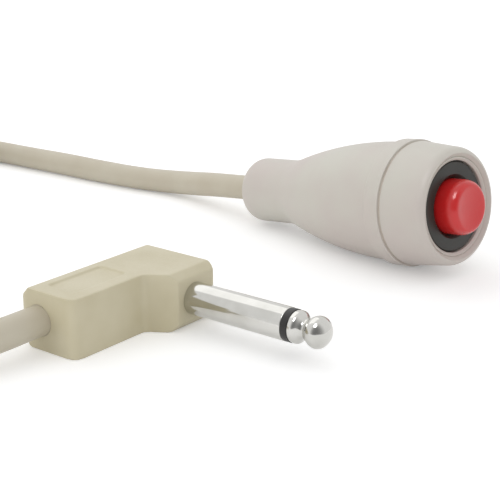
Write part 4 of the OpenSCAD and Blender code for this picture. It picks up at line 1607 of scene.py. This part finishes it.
    def moulding(self) -> bpy.types.Object:
        """Builds the moulded body with its bare, sunk label place.

        Returns:
            The body, hollow for the core, the cord and the pin.
        """
        middle, wall = self.thickness / 2, self.core_wall
        piece = self.prism(self.side_outline(), 0, self.thickness)
        slab = self.prism(self.section_outline(), -MM, self.length + MM)
        slab.data.transform(Matrix.Rotation(math.pi / 2, 4, "X"))
        self.cut(piece, slab, "INTERSECT")
        label_x = (self.depth - self.label_w) / 2 + self.bevel / 4
        label_y = -self.length + self.corner_r + self.bevel / 2
        label = self.box((label_x, label_y, self.thickness - self.label_depth),
                         (label_x + self.label_w, label_y + self.label_l,
                          self.thickness + MM), self.label_round)
        self.cut(piece, label, "DIFFERENCE")
        self.soften(piece)
        half = self.flange_r + wall + 2 * self.seat
        head = self.pin_y + half
        trunk = self.box((self.bevel - self.seat, self.cord_in - self.length, middle - half),
                         (self.depth - 2 * wall + self.seat, head, middle + half))
        neck = self.box((self.bevel - self.seat, self.pin_y - half, middle - half),
                        (self.shoulder - self.head_bevel - 3 * wall + self.seat, head,
                         middle + half))
        cord = self.rod(self.cord_r, Axis(self.cord_hole, Vector((0, 1, 0)),
                                          Vector((1, 0, 0))), -MM, self.cord_in + MM)
        pin = self.rod(self.root_r + self.seat, Axis(
            Vector((0, self.pin_y, middle)), Vector((1, 0, 0)), Vector((0, 1, 0))),
            self.depth - 3 * wall, self.shoulder + MM)
        for tool in (trunk, neck, cord, pin):
            self.cut(piece, tool, "DIFFERENCE")
        piece.name = piece.data.name = "plug_moulding"
        piece.data.materials.clear()
        piece.data.materials.append(Finishes.PLUG.material())
        return settle(piece, self.place)

    def rod(self, radius: float, axis: Axis, low: float, high: float) -> bpy.types.Object:
        """Makes a round rod, to drill with.

        Args:
            radius: Its radius.
            axis: The line that it lies on.
            low: Where it starts along that line.
            high: Where it ends.

        Returns:
            The rod.
        """
        corners = [Corner(low, 0), Corner(high, 0), Corner(high, radius), Corner(low, radius)]
        return self.shop.turned.make("drill", corners, axis.matrix, Finishes.PLUG,
                                     segments=self.DRILL_SEGMENTS)

    def soften(self, piece: bpy.types.Object) -> None:
        """Rounds every edge a little, as a soft moulding's are.

        Args:
            piece: The moulding, which is remeshed finely for it.
        """
        remesh = piece.modifiers.new("fine skin", "REMESH")
        remesh.mode, remesh.voxel_size = "VOXEL", self.voxel
        smooth = piece.modifiers.new("soft edges", "SMOOTH")
        smooth.factor, smooth.iterations = self.SMOOTH_FACTOR, self.SMOOTH_ROUNDS
        apply_modifiers(piece)

    def sleeve(self) -> bpy.types.Object:
        """Turns the sleeve, with the flange that the core holds.

        Returns:
            The sleeve.
        """
        corners = [
            Corner(self.sleeve_back, self.hole_r), Corner(self.sleeve_back, self.root_r),
            Corner(self.flange, self.root_r), Corner(self.flange, self.flange_r),
            Corner(self.flange + self.flange_t, self.flange_r),
            Corner(self.flange + self.flange_t, self.root_r),
            Corner(self.shoulder, self.root_r), Corner(self.shoulder, self.pin_r, self.pin_soft),
            Corner(self.ring, self.pin_r, self.pin_soft), Corner(self.ring, self.hole_r)]
        return self.shop.turned.make("pin_sleeve", corners, self.pin_axis.matrix,
                                     Finishes.NICKEL)

    def insulator(self) -> bpy.types.Object:
        """Turns the black ring and the tube behind it that keeps the rod off the sleeve.

        Returns:
            The ring and the tube as one piece.
        """
        hole, tube_r = self.rod_r + self.seat, self.hole_r - self.seat
        ring_r, end = self.pin_r - self.ring_sink, self.ring + self.ring_w
        corners = [
            Corner(self.sleeve_back, hole), Corner(self.sleeve_back, tube_r),
            Corner(self.ring, tube_r), Corner(self.ring, ring_r, self.pin_soft / 2),
            Corner(end, ring_r, self.pin_soft / 2), Corner(end, hole)]
        return self.shop.turned.make("pin_ring", corners, self.pin_axis.matrix,
                                     Finishes.PIN_RING)

    def tip(self) -> bpy.types.Object:
        """Turns the tip, with its waist and its rounded nose, and the rod behind it.

        Returns:
            The tip and the rod as one piece.
        """
        start = self.ring + self.ring_w
        back = self.sleeve_back - self.rear_washer_t - 2 * self.lug_t
        nose = smooth_line([Vector((start + share * self.tip_l, r * self.pin_r, 0))
                            for share, r in self.TIP_SHARES],
                           self.tip_l / self.TIP_STEPS)
        corners = [Corner(back, 0), Corner(back, self.rod_r), Corner(start, self.rod_r),
                   *(Corner(p.x, max(0.0, p.y)) for p in nose)]
        return self.shop.turned.make("pin_tip", corners, self.pin_axis.matrix, Finishes.NICKEL)

    def build(self) -> list[bpy.types.Object]:
        """Builds the moulding and the pin.

        Returns:
            The pieces.
        """
        pieces = [self.moulding(), self.sleeve(), self.insulator(), self.tip()]
        for piece, slot, node in zip(pieces, ("plug_pvc", "nickel_pin", "pin_black", "nickel_pin"),
                                     ("plug_body", "plug_sleeve", "plug_insulator", "plug_tip")):
            enlist(piece, slot, node)
        return pieces


def main() -> None:
    """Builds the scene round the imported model."""
    logging.basicConfig(level=logging.INFO, format="%(name)s: %(message)s")
    for left_over in list(bpy.data.objects):
        bpy.data.objects.remove(left_over)
    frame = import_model()
    shop = Workshop(Turned(), Swept(), Band())
    Studio().build()
    pin_mount = next(m for m in frame["record"]["mounts"] if m["name"] == "plug_pin")
    plug = JackPlug(pin_mount, shop)
    axis = handset_axis(frame, Lead.diameter / 2)
    lead = Lead(axis, plug.cord_exit, shop)
    cord, line, straps = lead.build()
    Handset(axis, shop).build()
    PushSwitch(axis, shop).build()
    plug_pieces = plug.build()
    dress_nodes(frame)


def dress_nodes(frame: dict) -> None:
    """Gives every node of the model that stays in sight its finish.

    Args:
        frame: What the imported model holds.
    """
    slots = {part["node"]: part["material_slot"] for part in frame["record"]["subparts"]}
    for name, node in frame["nodes"].items():
        if not node.hide_render:
            finish = Finishes.BY_SLOT[slots[name]]
            node.data.materials.clear()
            node.data.materials.append(finish.material())
            log.info("%s: %s", name, finish.name)


if __name__ == "__main__":
    main()
